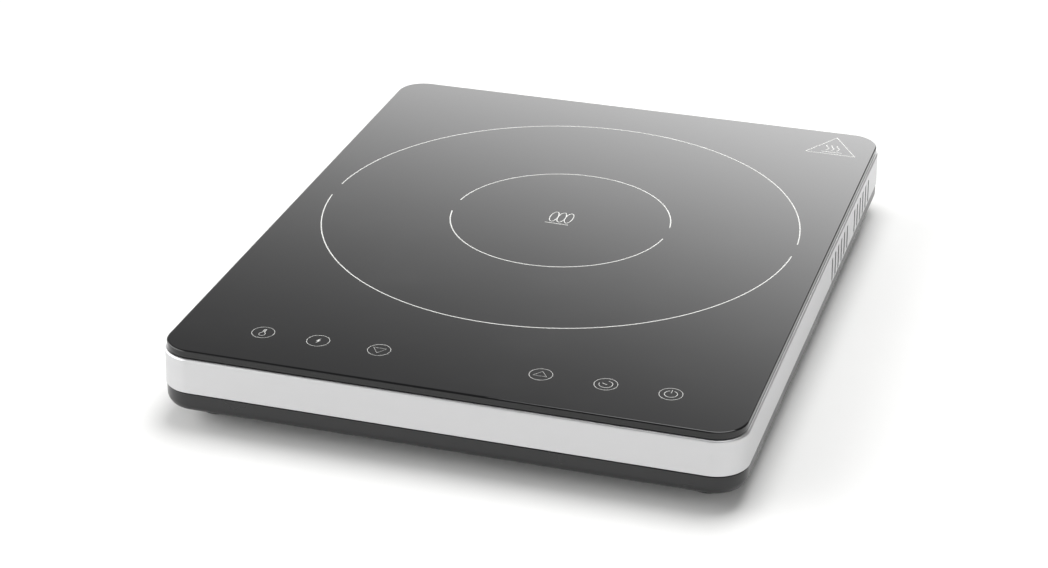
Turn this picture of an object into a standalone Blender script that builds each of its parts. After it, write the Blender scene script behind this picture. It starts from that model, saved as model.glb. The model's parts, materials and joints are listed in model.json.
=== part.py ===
"""Portable induction hob: a glass plate on a silver band and a black bottom shell.

Metres, +Z up. The origin is on the surface that the feet stand on, under the middle of the glass.
The front, with the touch keys, is towards -Y.
"""

import math

import bmesh
import bpy
from mathutils import Matrix, Vector

# Clearance between pieces that rest on or pass through each other
GAP = 0.0003

# Glass plate
GLASS_WIDTH = 0.290
GLASS_DEPTH = 0.364
GLASS_THICKNESS = 0.004
GLASS_CORNER_RADIUS = 0.0155
GLASS_CHAMFER = 0.0006
GLASS_SHADOW_GAP = 0.0002
CORNER_STEPS = 6
SMALLEST_CORNER = 0.001
SMOOTH_ANGLE = 30

# Silver band: its top stands proud of the glass, and its wall leans outwards going down
BAND_HEIGHT = 0.014
BAND_REVEAL = 0.001
BAND_DRAFT = 0.0004
BAND_WALL = 0.0018
BAND_RIM_RADIUS = 0.0012
LEDGE_DEPTH = 0.0016
LEDGE_THICKNESS = 0.0015
LEDGE_WIDTH = 0.0132
SEAL_WIDTH = 0.0108
SEAM_GAP = 0.0005

# Vent slots, in two groups on each side of the band
VENT_REAR_INSET = 0.043
VENT_PITCH = 0.0085
VENT_COUNT = 6
VENT_GROUP_STEP = 0.064
VENT_WIDTH = 0.003
VENT_MARGIN = 0.00095

# Bottom shell
BASE_HEIGHT = 0.0153
BASE_INSET = 0.0004
BASE_WALL = 0.002
BASE_FLOOR = 0.002
BASE_EDGE_RADIUS = 0.0055
BASE_EDGE_STEPS = 4
LIP_HEIGHT = 0.002
LIP_WALL = 0.0014
LIP_ROOT = 0.0018

# Feet
FOOT_HEIGHT = 0.009
FOOT_RADIUS = 0.010
FOOT_CHAMFER = 0.001
FOOT_INSET_X = 0.020
FOOT_INSET_Y = 0.026
FOOT_STEM_RADIUS = 0.0032
FOOT_BARB_RADIUS = 0.0044
FOOT_BARB_HEIGHT = 0.002

# Case screws and the posts and bosses that they join
CASE_SCREW_INSET = 0.011
CASE_POST_RADIUS = 0.004
CASE_BOSS_RADIUS = 0.0052
CASE_BOSS_HEIGHT = 0.009
SCREW_SHANK_RADIUS = 0.0015
SCREW_HEAD_RADIUS = 0.003
SCREW_HEAD_HEIGHT = 0.002
SCREW_CROWN_RADIUS = 0.0021
SCREW_RIM_HEIGHT = 0.0008
SCREW_RECESS_DEPTH = 0.006
CASE_SCREW_GRIP = 0.012

# Coil assembly, centred under the printed rings
COIL_CENTRE_Y = 0.0189
COIL_INNER_RADIUS = 0.027
COIL_OUTER_RADIUS = 0.087
COIL_TURNS = 12
COIL_TURN_STEPS = 22
COIL_TURN_GAP = 0.0009
COIL_THICKNESS = 0.0035
CARRIER_THICKNESS = 0.0025
CARRIER_HUB_BORE = 0.0106
CARRIER_HUB_RADIUS = 0.0235
CARRIER_RING_RADIUS = 0.059
CARRIER_RING_WIDTH = 0.006
CARRIER_ARM_WIDTH = 0.011
CARRIER_ARM_RELIEF = 0.0002
CARRIER_ARM_COUNT = 6
MICA_THICKNESS = 0.0005
MICA_MARGIN = 0.003
MICA_BORE = 0.009
FERRITE_LENGTH = 0.055
FERRITE_WIDTH = 0.012
FERRITE_THICKNESS = 0.005
FERRITE_INNER_RADIUS = 0.029
COIL_LUG_MARGIN = 0.014
COIL_LUG_RADIUS = 0.006
COIL_LUG_ANGLES = (0, 180, 270)
COIL_BOSS_RADIUS = 0.0045
COIL_BOSS_HEIGHT = 0.009
COIL_SCREW_GRIP = 0.005
HELIX_STEPS = 9
SPRING_RADIUS = 0.0034
SPRING_WIRE = 0.0005
SPRING_TURNS = 4
SENSOR_RADIUS = 0.007
SENSOR_HEIGHT = 0.0097
SENSOR_CHAMFER = 0.0012
SENSOR_HOLDER_RADIUS = 0.010
SENSOR_HOLDER_BORE = 0.0075
SENSOR_HOLDER_DEPTH = 0.0084
SENSOR_HOLDER_FLOOR = 0.0015
SENSOR_FLANGE_RADIUS = 0.019
SENSOR_FLANGE_THICKNESS = 0.0012
LEAD_RADIUS = 0.0018
LEAD_BEND = 0.0054
LEAD_DROP = 0.0054
LEAD_BOARD_INSET = 0.015

# Fan and the grille under it
FAN_SIZE = 0.080
FAN_THICKNESS = 0.015
FAN_INSET_X = 0.013
FAN_INSET_Y = 0.032
FAN_DUCT_WALL = 0.0025
FAN_HOLE_INSET = 0.0042
FAN_HOLE_RADIUS = 0.0022
FAN_PEG_RADIUS = 0.0018
FAN_PEG_HEIGHT = 0.005
FAN_MOTOR_RADIUS = 0.014
FAN_MOTOR_THICKNESS = 0.0018
FAN_STRUT_WIDTH = 0.004
FAN_STRUT_ANGLES = (30, 150, 270)
FAN_TUBE_RADIUS = 0.005
FAN_TUBE_BORE = 0.0033
FAN_TUBE_HEIGHT = 0.007
FAN_HUB_RADIUS = 0.015
FAN_HUB_WALL = 0.0016
FAN_HUB_HEIGHT = 0.0105
FAN_HUB_CHAMFER = 0.001
FAN_TIP_CLEARANCE = 0.0012
FAN_BLADE_COUNT = 7
FAN_BLADE_CHORD = 0.013
FAN_BLADE_THICKNESS = 0.0012
FAN_BLADE_PITCH = 38
SHAFT_RADIUS = 0.0015
BEARING_PLAY = 0.0001
BEARING_HEIGHT = 0.0045
GRILLE_MARGIN = 0.0015
GRILLE_SLOT_WIDTH = 0.004
GRILLE_PITCH = 0.008

# Boards
BOARD_THICKNESS = 0.0016
BOARD_STANDOFF = 0.003
STANDOFF_RADIUS = 0.0035
POWER_BOARD_FAN_GAP = 0.014
POWER_BOARD_FRONT_Y = 0.078
POWER_BOARD_REAR_INSET = 0.010
POWER_BOARD_SIDE_GAP = 0.002
POWER_BOARD_HOLE_INSET = 0.005
CONTROL_BOARD_HALF_WIDTH = 0.115
CONTROL_BOARD_DEPTH = 0.032
CONTROL_BOARD_HOLE_INSET = 0.0055
TOUCH_SPRING_HEIGHT = 0.0056
TOUCH_SPRING_RADIUS = 0.003
TOUCH_SPRING_WIRE = 0.0004
TOUCH_SPRING_TURNS = 3
KEY_INSET_Y = 0.0294
KEY_X = (-0.1010, -0.0725, -0.0410, 0.0410, 0.0730, 0.1045)
DISPLAY_SIZE = (0.050, 0.018, 0.0042)

# Parts on the power board: width along X, depth along Y, height
HEATSINK_SIZE = (0.048, 0.040, 0.0185)
HEATSINK_FRONT_GAP = 0.016
HEATSINK_SIDE_GAP = 0.003
HEATSINK_BASE = 0.0032
HEATSINK_FIN = 0.0018
HEATSINK_FIN_COUNT = 6
PART_EDGE = 0.0006
CHIP_HEIGHT = 0.004
IGBT_SIZE = (0.016, 0.020)
RECTIFIER_SIZE = (0.014, 0.024)
RESONANCE_CAPACITOR_SIZE = (0.032, 0.018, 0.018)
BUS_CAPACITOR_SIZE = (0.028, 0.012, 0.0105)
TRANSFORMER_SIZE = (0.018, 0.016, 0.0105)
TERMINAL_BLOCK_SIZE = (0.020, 0.010, 0.012)
FRONT_ROW_OFFSET = 0.034
REAR_ROW_OFFSET = 0.012
CHOKE_RADIUS = 0.012
CHOKE_BORE = 0.0055
CHOKE_HEIGHT = 0.009
FUSE_RADIUS = 0.0028
FUSE_LENGTH = 0.020
FUSE_INSET = 0.0135
VARISTOR_RADIUS = 0.006
VARISTOR_THICKNESS = 0.004
ELECTROLYTIC_RADIUS = 0.005
ELECTROLYTIC_HEIGHT = 0.016
BUZZER_RADIUS = 0.006
BUZZER_HEIGHT = 0.007
RIBBON_WIDTH = 0.012
RIBBON_THICKNESS = 0.0008
RIBBON_BEND = 0.004

# Cord gland in the rear wall
GLAND_HOLE_RADIUS = 0.0050
GLAND_BORE = 0.0036
GLAND_FLANGE_RADIUS = 0.0058
GLAND_FLANGE_THICKNESS = 0.0015
GLAND_CENTRE_HEIGHT = 0.0086

# Heights and half sizes that follow from the sizes above
HALF_X = GLASS_WIDTH / 2
HALF_Y = GLASS_DEPTH / 2
BASE_BOTTOM_Z = FOOT_HEIGHT
FLOOR_Z = BASE_BOTTOM_Z + BASE_FLOOR
BASE_TOP_Z = BASE_BOTTOM_Z + BASE_HEIGHT
BAND_BOTTOM_Z = BASE_TOP_Z + SEAM_GAP
BAND_TOP_Z = BAND_BOTTOM_Z + BAND_HEIGHT
GLASS_BOTTOM_Z = BAND_TOP_Z + GLASS_SHADOW_GAP
GLASS_TOP_Z = GLASS_BOTTOM_Z + GLASS_THICKNESS
LEDGE_TOP_Z = BAND_TOP_Z - LEDGE_DEPTH
LEDGE_BOTTOM_Z = LEDGE_TOP_Z - LEDGE_THICKNESS
BAND_INNER = BAND_REVEAL - BAND_WALL
BAND_OUTER_BOTTOM = BAND_REVEAL + BAND_DRAFT
BASE_OUTER = BAND_OUTER_BOTTOM - BASE_INSET
CASE_BOSS_TOP_Z = FLOOR_Z + CASE_BOSS_HEIGHT
SCREW_SEAT_Z = BASE_BOTTOM_Z + SCREW_RECESS_DEPTH
SHANK_HOLE = SCREW_SHANK_RADIUS + GAP

MICA_TOP_Z = GLASS_BOTTOM_Z - GAP
COIL_TOP_Z = MICA_TOP_Z - MICA_THICKNESS - GAP
CARRIER_TOP_Z = COIL_TOP_Z - COIL_THICKNESS - GAP
CARRIER_BOTTOM_Z = CARRIER_TOP_Z - CARRIER_THICKNESS
COIL_PITCH = (COIL_OUTER_RADIUS - COIL_INNER_RADIUS) / COIL_TURNS
COIL_ARM_END = COIL_OUTER_RADIUS + MICA_MARGIN
COIL_LUG_DISTANCE = COIL_OUTER_RADIUS + COIL_LUG_MARGIN
COIL_BOSS_TOP_Z = FLOOR_Z + COIL_BOSS_HEIGHT

FAN_DUCT_RADIUS = FAN_SIZE / 2 - FAN_DUCT_WALL
GRILLE_RADIUS = FAN_DUCT_RADIUS - GRILLE_MARGIN
FAN_X = -(HALF_X - FAN_INSET_X - FAN_SIZE / 2)
FAN_Y = HALF_Y - FAN_INSET_Y - FAN_SIZE / 2
FAN_BOTTOM_Z = FLOOR_Z + GAP
FAN_TOP_Z = FAN_BOTTOM_Z + FAN_THICKNESS
FAN_ROTOR_Z = FAN_BOTTOM_Z + FAN_MOTOR_THICKNESS + 2 * GAP

POWER_BOARD_LEFT = FAN_X + FAN_SIZE / 2 + POWER_BOARD_FAN_GAP
POWER_BOARD_RIGHT = HALF_X - CASE_SCREW_INSET - CASE_BOSS_RADIUS - POWER_BOARD_SIDE_GAP
POWER_BOARD_REAR_Y = HALF_Y - POWER_BOARD_REAR_INSET
POWER_BOARD_BOTTOM_Z = FLOOR_Z + BOARD_STANDOFF + GAP
PART_Z = POWER_BOARD_BOTTOM_Z + BOARD_THICKNESS + GAP
FRONT_ROW_Y = POWER_BOARD_FRONT_Y + FRONT_ROW_OFFSET
REAR_ROW_Y = POWER_BOARD_REAR_Y - REAR_ROW_OFFSET
HEATSINK_X = POWER_BOARD_RIGHT - HEATSINK_SIDE_GAP - HEATSINK_SIZE[0] / 2
HEATSINK_LEFT = HEATSINK_X - HEATSINK_SIZE[0] / 2
HEATSINK_Y = POWER_BOARD_FRONT_Y + HEATSINK_FRONT_GAP + HEATSINK_SIZE[1] / 2

# The board's other parts stand in four columns with equal gaps, from the board's left to the heatsink
COLUMN_WIDTHS = (2 * CHOKE_RADIUS, 2 * VARISTOR_RADIUS, RESONANCE_CAPACITOR_SIZE[0], TRANSFORMER_SIZE[0])
COLUMN_GAP = (HEATSINK_LEFT - POWER_BOARD_LEFT - sum(COLUMN_WIDTHS)) / (len(COLUMN_WIDTHS) + 1)
MAINS_SIDE_X = POWER_BOARD_LEFT + COLUMN_GAP + CHOKE_RADIUS
LEAD_SIDE_X = MAINS_SIDE_X + CHOKE_RADIUS + COLUMN_GAP + VARISTOR_RADIUS
COIL_SIDE_PART_X = LEAD_SIDE_X + VARISTOR_RADIUS + COLUMN_GAP + RESONANCE_CAPACITOR_SIZE[0] / 2
TRANSFORMER_X = HEATSINK_LEFT - COLUMN_GAP - TRANSFORMER_SIZE[0] / 2

CONTROL_BOARD_TOP_Z = GLASS_BOTTOM_Z - TOUCH_SPRING_HEIGHT - GAP
CONTROL_BOARD_BOTTOM_Z = CONTROL_BOARD_TOP_Z - BOARD_THICKNESS
KEY_Y = -(HALF_Y - KEY_INSET_Y)

GLAND_Z = BASE_BOTTOM_Z + GLAND_CENTRE_HEIGHT
GLAND_Y = HALF_Y + BASE_OUTER


# ---------------------------------------------------------------- helpers


def clear_scene():
    for obj in list(bpy.data.objects):
        bpy.data.objects.remove(obj, do_unlink=True)


def principled(name, colour, roughness, metallic=0.0):
    material = bpy.data.materials.new(name)
    material.use_nodes = True
    shader = material.node_tree.nodes["Principled BSDF"]
    shader.inputs["Base Color"].default_value = (*colour, 1.0)
    shader.inputs["Roughness"].default_value = roughness
    shader.inputs["Metallic"].default_value = metallic
    return material


def place(bm, name, material, location=(0, 0, 0), parent=None):
    """Turns a bmesh into a named object with outward faces and smooth round sides."""
    bmesh.ops.recalc_face_normals(bm, faces=bm.faces)
    mesh = bpy.data.meshes.new(name)
    bm.to_mesh(mesh)
    bm.free()
    mesh.shade_smooth()
    mesh.set_sharp_from_angle(angle=math.radians(SMOOTH_ANGLE))
    mesh.materials.append(material)
    obj = bpy.data.objects.new(name, mesh)
    bpy.context.scene.collection.objects.link(obj)
    obj.location = location
    obj.parent = parent
    return obj


def tool(bm, name):
    """A helper solid for a Boolean, kept out of the render."""
    obj = place(bm, name, principled(name, (1, 0, 0), 0.5))
    obj.hide_render = True
    obj.display_type = "WIRE"
    return obj


def boolean(obj, other, operation):
    modifier = obj.modifiers.new(f"{operation.lower()} {other.name}", "BOOLEAN")
    modifier.operation = operation
    modifier.object = other


def rounded_outline(half_x, half_y, radius, z):
    """Points round a level rectangle with round corners."""
    points = []
    for corner, (side_x, side_y) in enumerate(((1, 1), (-1, 1), (-1, -1), (1, -1))):
        centre = Vector((side_x * (half_x - radius), side_y * (half_y - radius), z))
        for step in range(CORNER_STEPS + 1):
            angle = math.radians(90 * (corner + step / CORNER_STEPS))
            points.append(centre + radius * Vector((math.cos(angle), math.sin(angle), 0)))
    return points


def sweep(outlines, ring=False):
    """A solid through outlines with equal numbers of points; a ring closes on its first outline."""
    bm = bmesh.new()
    order = bm.verts.layers.int.new("order")
    verts = [bm.verts.new(point) for point in outlines[0]]
    for number, vert in enumerate(verts):
        vert[order] = number
    loop = [bm.edges.new(pair) for pair in zip(verts, verts[1:] + verts[:1])]
    if not ring:
        bmesh.ops.edgeloop_fill(bm, edges=loop)
    for outline in outlines[1:] + (outlines[:1] if ring else []):
        extruded = bmesh.ops.extrude_edge_only(bm, edges=loop)["geom"]
        moved = {item for item in extruded if isinstance(item, bmesh.types.BMVert)}
        for vert in moved:
            vert.co = outline[vert[order]]
        edges = {edge for vert in moved for edge in vert.link_edges}
        loop = [edge for edge in edges if set(edge.verts) <= moved]
    if ring:
        bmesh.ops.remove_doubles(bm, verts=bm.verts, dist=1e-7)
    else:
        bmesh.ops.edgeloop_fill(bm, edges=loop)
    return bm


def loft(sections, ring=False):
    """A solid through the glass's outline, moved outwards and up as (offset, z) says."""
    outlines = []
    for offset, z in sections:
        radius = max(GLASS_CORNER_RADIUS + offset, SMALLEST_CORNER)
        outlines.append(rounded_outline(HALF_X + offset, HALF_Y + offset, radius, z))
    return sweep(outlines, ring)


def turn(bm, profile, steps, matrix=None):
    """Spins a profile of (radius, z) points about Z. A profile off the axis is closed into a ring."""
    verts = [bm.verts.new((radius, 0, z)) for radius, z in profile]
    pairs = list(zip(verts, verts[1:]))
    if profile[0][0] > 0:
        pairs.append((verts[-1], verts[0]))
    geometry = verts + [bm.edges.new(pair) for pair in pairs]
    before = set(bm.verts) - set(verts)
    full_turn = {"angle": math.tau, "steps": steps, "use_merge": True}
    bmesh.ops.spin(bm, geom=geometry, cent=(0, 0, 0), axis=(0, 0, 1), **full_turn)
    made = [vert for vert in bm.verts if vert not in before]
    bmesh.ops.remove_doubles(bm, verts=made, dist=1e-6)
    if matrix:
        made = [vert for vert in bm.verts if vert not in before]
        bmesh.ops.transform(bm, matrix=matrix, verts=made)


def cylinder(bm, radius, bottom_z, top_z, x=0, y=0, steps=16):
    where = Matrix.Translation((x, y, (bottom_z + top_z) / 2))
    ends = {"radius1": radius, "radius2": radius, "depth": top_z - bottom_z}
    bmesh.ops.create_cone(bm, cap_ends=True, segments=steps, matrix=where, **ends)


def block(bm, size, centre, rotation=None):
    matrix = Matrix.Translation(centre) @ (rotation or Matrix()) @ Matrix.Diagonal((*size, 1))
    bmesh.ops.create_cube(bm, size=1, matrix=matrix)


def single(maker, *arguments, **options):
    """A new bmesh with one shape in it."""
    bm = bmesh.new()
    maker(bm, *arguments, **options)
    return bm


def tube(name, points, radius, material, parent):
    """A round wire or spring through the points, with closed ends."""
    curve = bpy.data.curves.new(name, "CURVE")
    curve.dimensions = "3D"
    curve.bevel_depth = radius
    curve.bevel_resolution = 0
    curve.use_fill_caps = True
    spline = curve.splines.new("POLY")
    spline.points.add(len(points) - 1)
    for point, where in zip(spline.points, points):
        point.co = (*where, 1)
    curve.materials.append(material)
    obj = bpy.data.objects.new(name, curve)
    bpy.context.scene.collection.objects.link(obj)
    obj.parent = parent
    return obj


def helix(x, y, bottom_z, top_z, radius, turns):
    steps = HELIX_STEPS
    points = []
    for step in range(turns * steps + 1):
        angle = math.tau * step / steps
        z = bottom_z + (top_z - bottom_z) * step / (turns * steps)
        points.append((x + radius * math.cos(angle), y + radius * math.sin(angle), z))
    return points


# ---------------------------------------------------------------- materials


def black_glass():
    return principled("Black glass-ceramic", (0.010, 0.010, 0.011), 0.08)


def satin_silver():
    return principled("Satin silver band", (0.66, 0.66, 0.67), 0.32, 0.9)


def black_plastic():
    return principled("Moulded black plastic", (0.022, 0.022, 0.024), 0.5)


def grey_plastic():
    return principled("Heat-resistant grey plastic", (0.30, 0.30, 0.31), 0.55)


def black_rubber():
    return principled("Black rubber", (0.014, 0.014, 0.015), 0.8)


def zinc_steel():
    return principled("Zinc-plated steel", (0.58, 0.60, 0.63), 0.35, 1.0)


def copper():
    return principled("Enamelled copper", (0.62, 0.25, 0.10), 0.35, 0.8)


def mica():
    return principled("Pressed mica", (0.62, 0.55, 0.40), 0.6)


def ferrite():
    return principled("Ferrite", (0.035, 0.035, 0.037), 0.6)


def circuit_board():
    return principled("Green circuit board", (0.02, 0.14, 0.05), 0.4)


def aluminium():
    return principled("Extruded aluminium", (0.72, 0.73, 0.74), 0.35, 1.0)


def part_body(name, colour):
    return principled(name, colour, 0.45)


# ---------------------------------------------------------------- case


def glass_plate(parent):
    inner = -GLASS_CHAMFER
    sections = [
        (inner, GLASS_BOTTOM_Z),
        (0, GLASS_BOTTOM_Z + GLASS_CHAMFER),
        (0, GLASS_TOP_Z - GLASS_CHAMFER),
        (inner, GLASS_TOP_Z),
    ]
    return place(loft(sections), "glass_plate", black_glass(), parent=parent)


def glass_seal(parent):
    outer = BAND_INNER - GAP
    inner = outer - SEAL_WIDTH
    bottom = LEDGE_TOP_Z + GAP
    top = GLASS_BOTTOM_Z - GAP
    sections = [(outer, bottom), (outer, top), (inner, top), (inner, bottom)]
    return place(loft(sections, ring=True), "glass_seal", black_rubber(), parent=parent)


def vent_cutter():
    bm = bmesh.new()
    middle_z = (BAND_BOTTOM_Z + LEDGE_BOTTOM_Z) / 2
    height = LEDGE_BOTTOM_Z - BAND_BOTTOM_Z - 2 * VENT_MARGIN
    size = (4 * (BAND_WALL + BAND_DRAFT), VENT_WIDTH, height)
    for side in (-1, 1):
        for group in range(2):
            for slot in range(VENT_COUNT):
                y = HALF_Y - VENT_REAR_INSET - group * VENT_GROUP_STEP - slot * VENT_PITCH
                block(bm, size, (side * (HALF_X + BAND_INNER), y, middle_z))
    return tool(bm, "vent_cutter")


def case_screw_places():
    x = HALF_X - CASE_SCREW_INSET
    y = HALF_Y - CASE_SCREW_INSET
    return [(side * x, row) for side in (-1, 1) for row in (-y, 0, y)]


def trim_band(parent):
    lean = BAND_DRAFT * BAND_RIM_RADIUS / BAND_HEIGHT
    rim = [
        (
            BAND_REVEAL - BAND_RIM_RADIUS * (1 - math.cos(angle)),
            BAND_TOP_Z - BAND_RIM_RADIUS * (1 - math.sin(angle)),
        )
        for angle in (math.pi / 4, math.pi / 2)
    ]
    sections = [
        (BAND_OUTER_BOTTOM, BAND_BOTTOM_Z),
        (BAND_REVEAL + lean, BAND_TOP_Z - BAND_RIM_RADIUS),
        *rim,
        (BAND_INNER, BAND_TOP_Z),
        (BAND_INNER, LEDGE_TOP_Z),
        (BAND_INNER - LEDGE_WIDTH, LEDGE_TOP_Z),
        (BAND_INNER - LEDGE_WIDTH, LEDGE_BOTTOM_Z),
        (BAND_INNER, LEDGE_BOTTOM_Z),
        (BAND_INNER, BAND_BOTTOM_Z),
    ]
    band = place(loft(sections, ring=True), "trim_band", satin_silver(), parent=parent)
    posts = bmesh.new()
    holes = bmesh.new()
    post_bottom = CASE_BOSS_TOP_Z + GAP
    for x, y in case_screw_places():
        cylinder(posts, CASE_POST_RADIUS, post_bottom, LEDGE_TOP_Z - LEDGE_THICKNESS / 2, x, y)
        cylinder(holes, SHANK_HOLE, post_bottom - GAP, LEDGE_BOTTOM_Z, x, y, steps=10)
    boolean(band, tool(posts, "band_posts"), "UNION")
    boolean(band, tool(holes, "band_post_holes"), "DIFFERENCE")
    boolean(band, vent_cutter(), "DIFFERENCE")
    return band


def edge_arc(offset, radius, bottom_z):
    """The rounded lower edge of the shell, from its side down to the flat underside."""
    arc = []
    for step in range(BASE_EDGE_STEPS + 1):
        angle = math.pi / 2 * step / BASE_EDGE_STEPS
        arc.append((offset - radius * (1 - math.cos(angle)), bottom_z + radius * (1 - math.sin(angle))))
    return arc


def board_posts():
    """Places of the control board's four posts."""
    x = CONTROL_BOARD_HALF_WIDTH - CONTROL_BOARD_HOLE_INSET
    y = CONTROL_BOARD_DEPTH / 2 - CONTROL_BOARD_HOLE_INSET
    return [(side * x, KEY_Y + end * y) for side in (-1, 1) for end in (-1, 1)]


def power_board_posts():
    left = POWER_BOARD_LEFT + POWER_BOARD_HOLE_INSET
    right = POWER_BOARD_RIGHT - POWER_BOARD_HOLE_INSET
    front = POWER_BOARD_FRONT_Y + POWER_BOARD_HOLE_INSET
    rear = POWER_BOARD_REAR_Y - POWER_BOARD_HOLE_INSET
    return [(x, y) for x in (left, right) for y in (front, rear)]


def fan_corners():
    reach = FAN_SIZE / 2 - FAN_HOLE_INSET
    return [(FAN_X + a * reach, FAN_Y + b * reach) for a in (-1, 1) for b in (-1, 1)]


def coil_lugs():
    places = []
    for angle in COIL_LUG_ANGLES:
        turn_angle = math.radians(angle)
        x = COIL_LUG_DISTANCE * math.cos(turn_angle)
        places.append((x, COIL_CENTRE_Y + COIL_LUG_DISTANCE * math.sin(turn_angle)))
    return places


def foot_places():
    x = HALF_X - FOOT_INSET_X
    y = HALF_Y - FOOT_INSET_Y
    return {
        "front_left": (-x, -y),
        "front_right": (x, -y),
        "rear_left": (-x, y),
        "rear_right": (x, y),
    }


def base_bosses():
    bm = bmesh.new()
    root = FLOOR_Z - BASE_FLOOR / 2
    for x, y in case_screw_places():
        cylinder(bm, CASE_BOSS_RADIUS, root, CASE_BOSS_TOP_Z, x, y)
    for x, y in coil_lugs():
        cylinder(bm, COIL_BOSS_RADIUS, root, COIL_BOSS_TOP_Z, x, y)
    for x, y in board_posts():
        cylinder(bm, STANDOFF_RADIUS, root, CONTROL_BOARD_BOTTOM_Z - GAP, x, y, steps=10)
    for x, y in power_board_posts():
        cylinder(bm, STANDOFF_RADIUS, root, FLOOR_Z + BOARD_STANDOFF, x, y, steps=10)
    for x, y in fan_corners():
        cylinder(bm, FAN_PEG_RADIUS, root, FLOOR_Z + FAN_PEG_HEIGHT, x, y, steps=8)
    return tool(bm, "base_bosses")


def base_openings():
    bm = bmesh.new()
    below = BASE_BOTTOM_Z - GAP
    recess = SCREW_HEAD_RADIUS + GAP
    stepped = [
        (0, below),
        (recess, below),
        (recess, SCREW_SEAT_Z),
        (SHANK_HOLE, SCREW_SEAT_Z),
        (SHANK_HOLE, CASE_BOSS_TOP_Z + GAP),
        (0, CASE_BOSS_TOP_Z + GAP),
    ]
    for x, y in case_screw_places():
        turn(bm, stepped, 12, Matrix.Translation((x, y, 0)))
    for x, y in coil_lugs():
        hole_bottom = COIL_BOSS_TOP_Z - COIL_SCREW_GRIP - 2 * GAP
        cylinder(bm, SHANK_HOLE, hole_bottom, COIL_BOSS_TOP_Z + GAP, x, y, steps=10)
    for x, y in foot_places().values():
        cylinder(bm, FOOT_STEM_RADIUS + GAP, below, FLOOR_Z + GAP, x, y, steps=12)
    rows = int(GRILLE_RADIUS // GRILLE_PITCH)
    for row in range(-rows, rows + 1):
        offset = row * GRILLE_PITCH
        length = 2 * math.sqrt(GRILLE_RADIUS**2 - offset**2)
        size = (length, GRILLE_SLOT_WIDTH, 3 * BASE_FLOOR)
        block(bm, size, (FAN_X, FAN_Y + offset, BASE_BOTTOM_Z + BASE_FLOOR / 2))
    return tool(bm, "base_openings")


def gland_cutter():
    """The hole for the cord gland, with a wider seat inside for its flange."""
    inwards = Matrix.Translation((MAINS_SIDE_X, GLAND_Y, GLAND_Z)) @ Matrix.Rotation(math.pi / 2, 4, "X")
    seat_radius = GLAND_FLANGE_RADIUS + GAP
    profile = [
        (0, -BASE_WALL),
        (GLAND_HOLE_RADIUS, -BASE_WALL),
        (GLAND_HOLE_RADIUS, BASE_WALL),
        (seat_radius, BASE_WALL),
        (seat_radius, 3 * BASE_WALL),
        (0, 3 * BASE_WALL),
    ]
    return tool(single(turn, profile, 16, inwards), "gland_cutter")


def base_pan(parent):
    inner = BASE_OUTER - BASE_WALL
    inner_radius = BASE_EDGE_RADIUS - BASE_FLOOR
    lip_outer = BAND_INNER - GAP
    lip_inner = lip_outer - LIP_WALL
    lip_root_z = BASE_TOP_Z - LIP_ROOT
    sections = [
        *reversed(edge_arc(BASE_OUTER, BASE_EDGE_RADIUS, BASE_BOTTOM_Z)),
        (BASE_OUTER, BASE_TOP_Z),
        (lip_outer, BASE_TOP_Z),
        (lip_outer, BASE_TOP_Z + LIP_HEIGHT),
        (lip_inner, BASE_TOP_Z + LIP_HEIGHT),
        (lip_inner, lip_root_z),
        (inner, lip_root_z - (inner - lip_inner)),
        *edge_arc(inner, inner_radius, FLOOR_Z),
    ]
    pan = place(loft(sections), "base_pan", black_plastic(), parent=parent)
    boolean(pan, base_bosses(), "UNION")
    boolean(pan, base_openings(), "DIFFERENCE")
    boolean(pan, gland_cutter(), "DIFFERENCE")
    return pan


def feet(parent):
    barb_z = FLOOR_Z + GAP
    profile = [
        (0, 0),
        (FOOT_RADIUS - FOOT_CHAMFER, 0),
        (FOOT_RADIUS, FOOT_CHAMFER),
        (FOOT_RADIUS, FOOT_HEIGHT - GAP),
        (FOOT_STEM_RADIUS, FOOT_HEIGHT - GAP),
        (FOOT_STEM_RADIUS, barb_z),
        (FOOT_BARB_RADIUS, barb_z),
        (FOOT_STEM_RADIUS, barb_z + FOOT_BARB_HEIGHT),
        (0, barb_z + FOOT_BARB_HEIGHT),
    ]
    for name, (x, y) in foot_places().items():
        place(single(turn, profile, 16), f"foot_{name}", black_rubber(), (x, y, 0), parent)


def screw_profile(shank_length):
    """A pan-head screw pointing up, its head's seat at z = 0."""
    return [
        (0, -SCREW_HEAD_HEIGHT),
        (SCREW_CROWN_RADIUS, -SCREW_HEAD_HEIGHT),
        (SCREW_HEAD_RADIUS, -SCREW_RIM_HEIGHT),
        (SCREW_HEAD_RADIUS, 0),
        (SCREW_SHANK_RADIUS, 0),
        (SCREW_SHANK_RADIUS, shank_length - SCREW_SHANK_RADIUS),
        (0, shank_length),
    ]


def case_screws(parent):
    length = CASE_BOSS_TOP_Z - SCREW_SEAT_Z + CASE_SCREW_GRIP
    for number, (x, y) in enumerate(case_screw_places(), 1):
        bm = single(turn, screw_profile(length), 12)
        place(bm, f"case_screw_{number}", zinc_steel(), (x, y, SCREW_SEAT_Z - GAP), parent)


def cord_gland(parent):
    inner_face = BASE_WALL + GAP
    outer_radius = GLAND_HOLE_RADIUS - GAP
    length = inner_face + GLAND_FLANGE_THICKNESS
    profile = [
        (GLAND_BORE, 0),
        (outer_radius, 0),
        (outer_radius, inner_face),
        (GLAND_FLANGE_RADIUS, inner_face),
        (GLAND_FLANGE_RADIUS, length),
        (GLAND_BORE, length),
    ]
    inwards = Matrix.Rotation(math.pi / 2, 4, "X")
    bm = single(turn, profile, 16, inwards)
    place(bm, "cord_gland", black_rubber(), (MAINS_SIDE_X, GLAND_Y, GLAND_Z), parent)


# ---------------------------------------------------------------- coil


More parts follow.
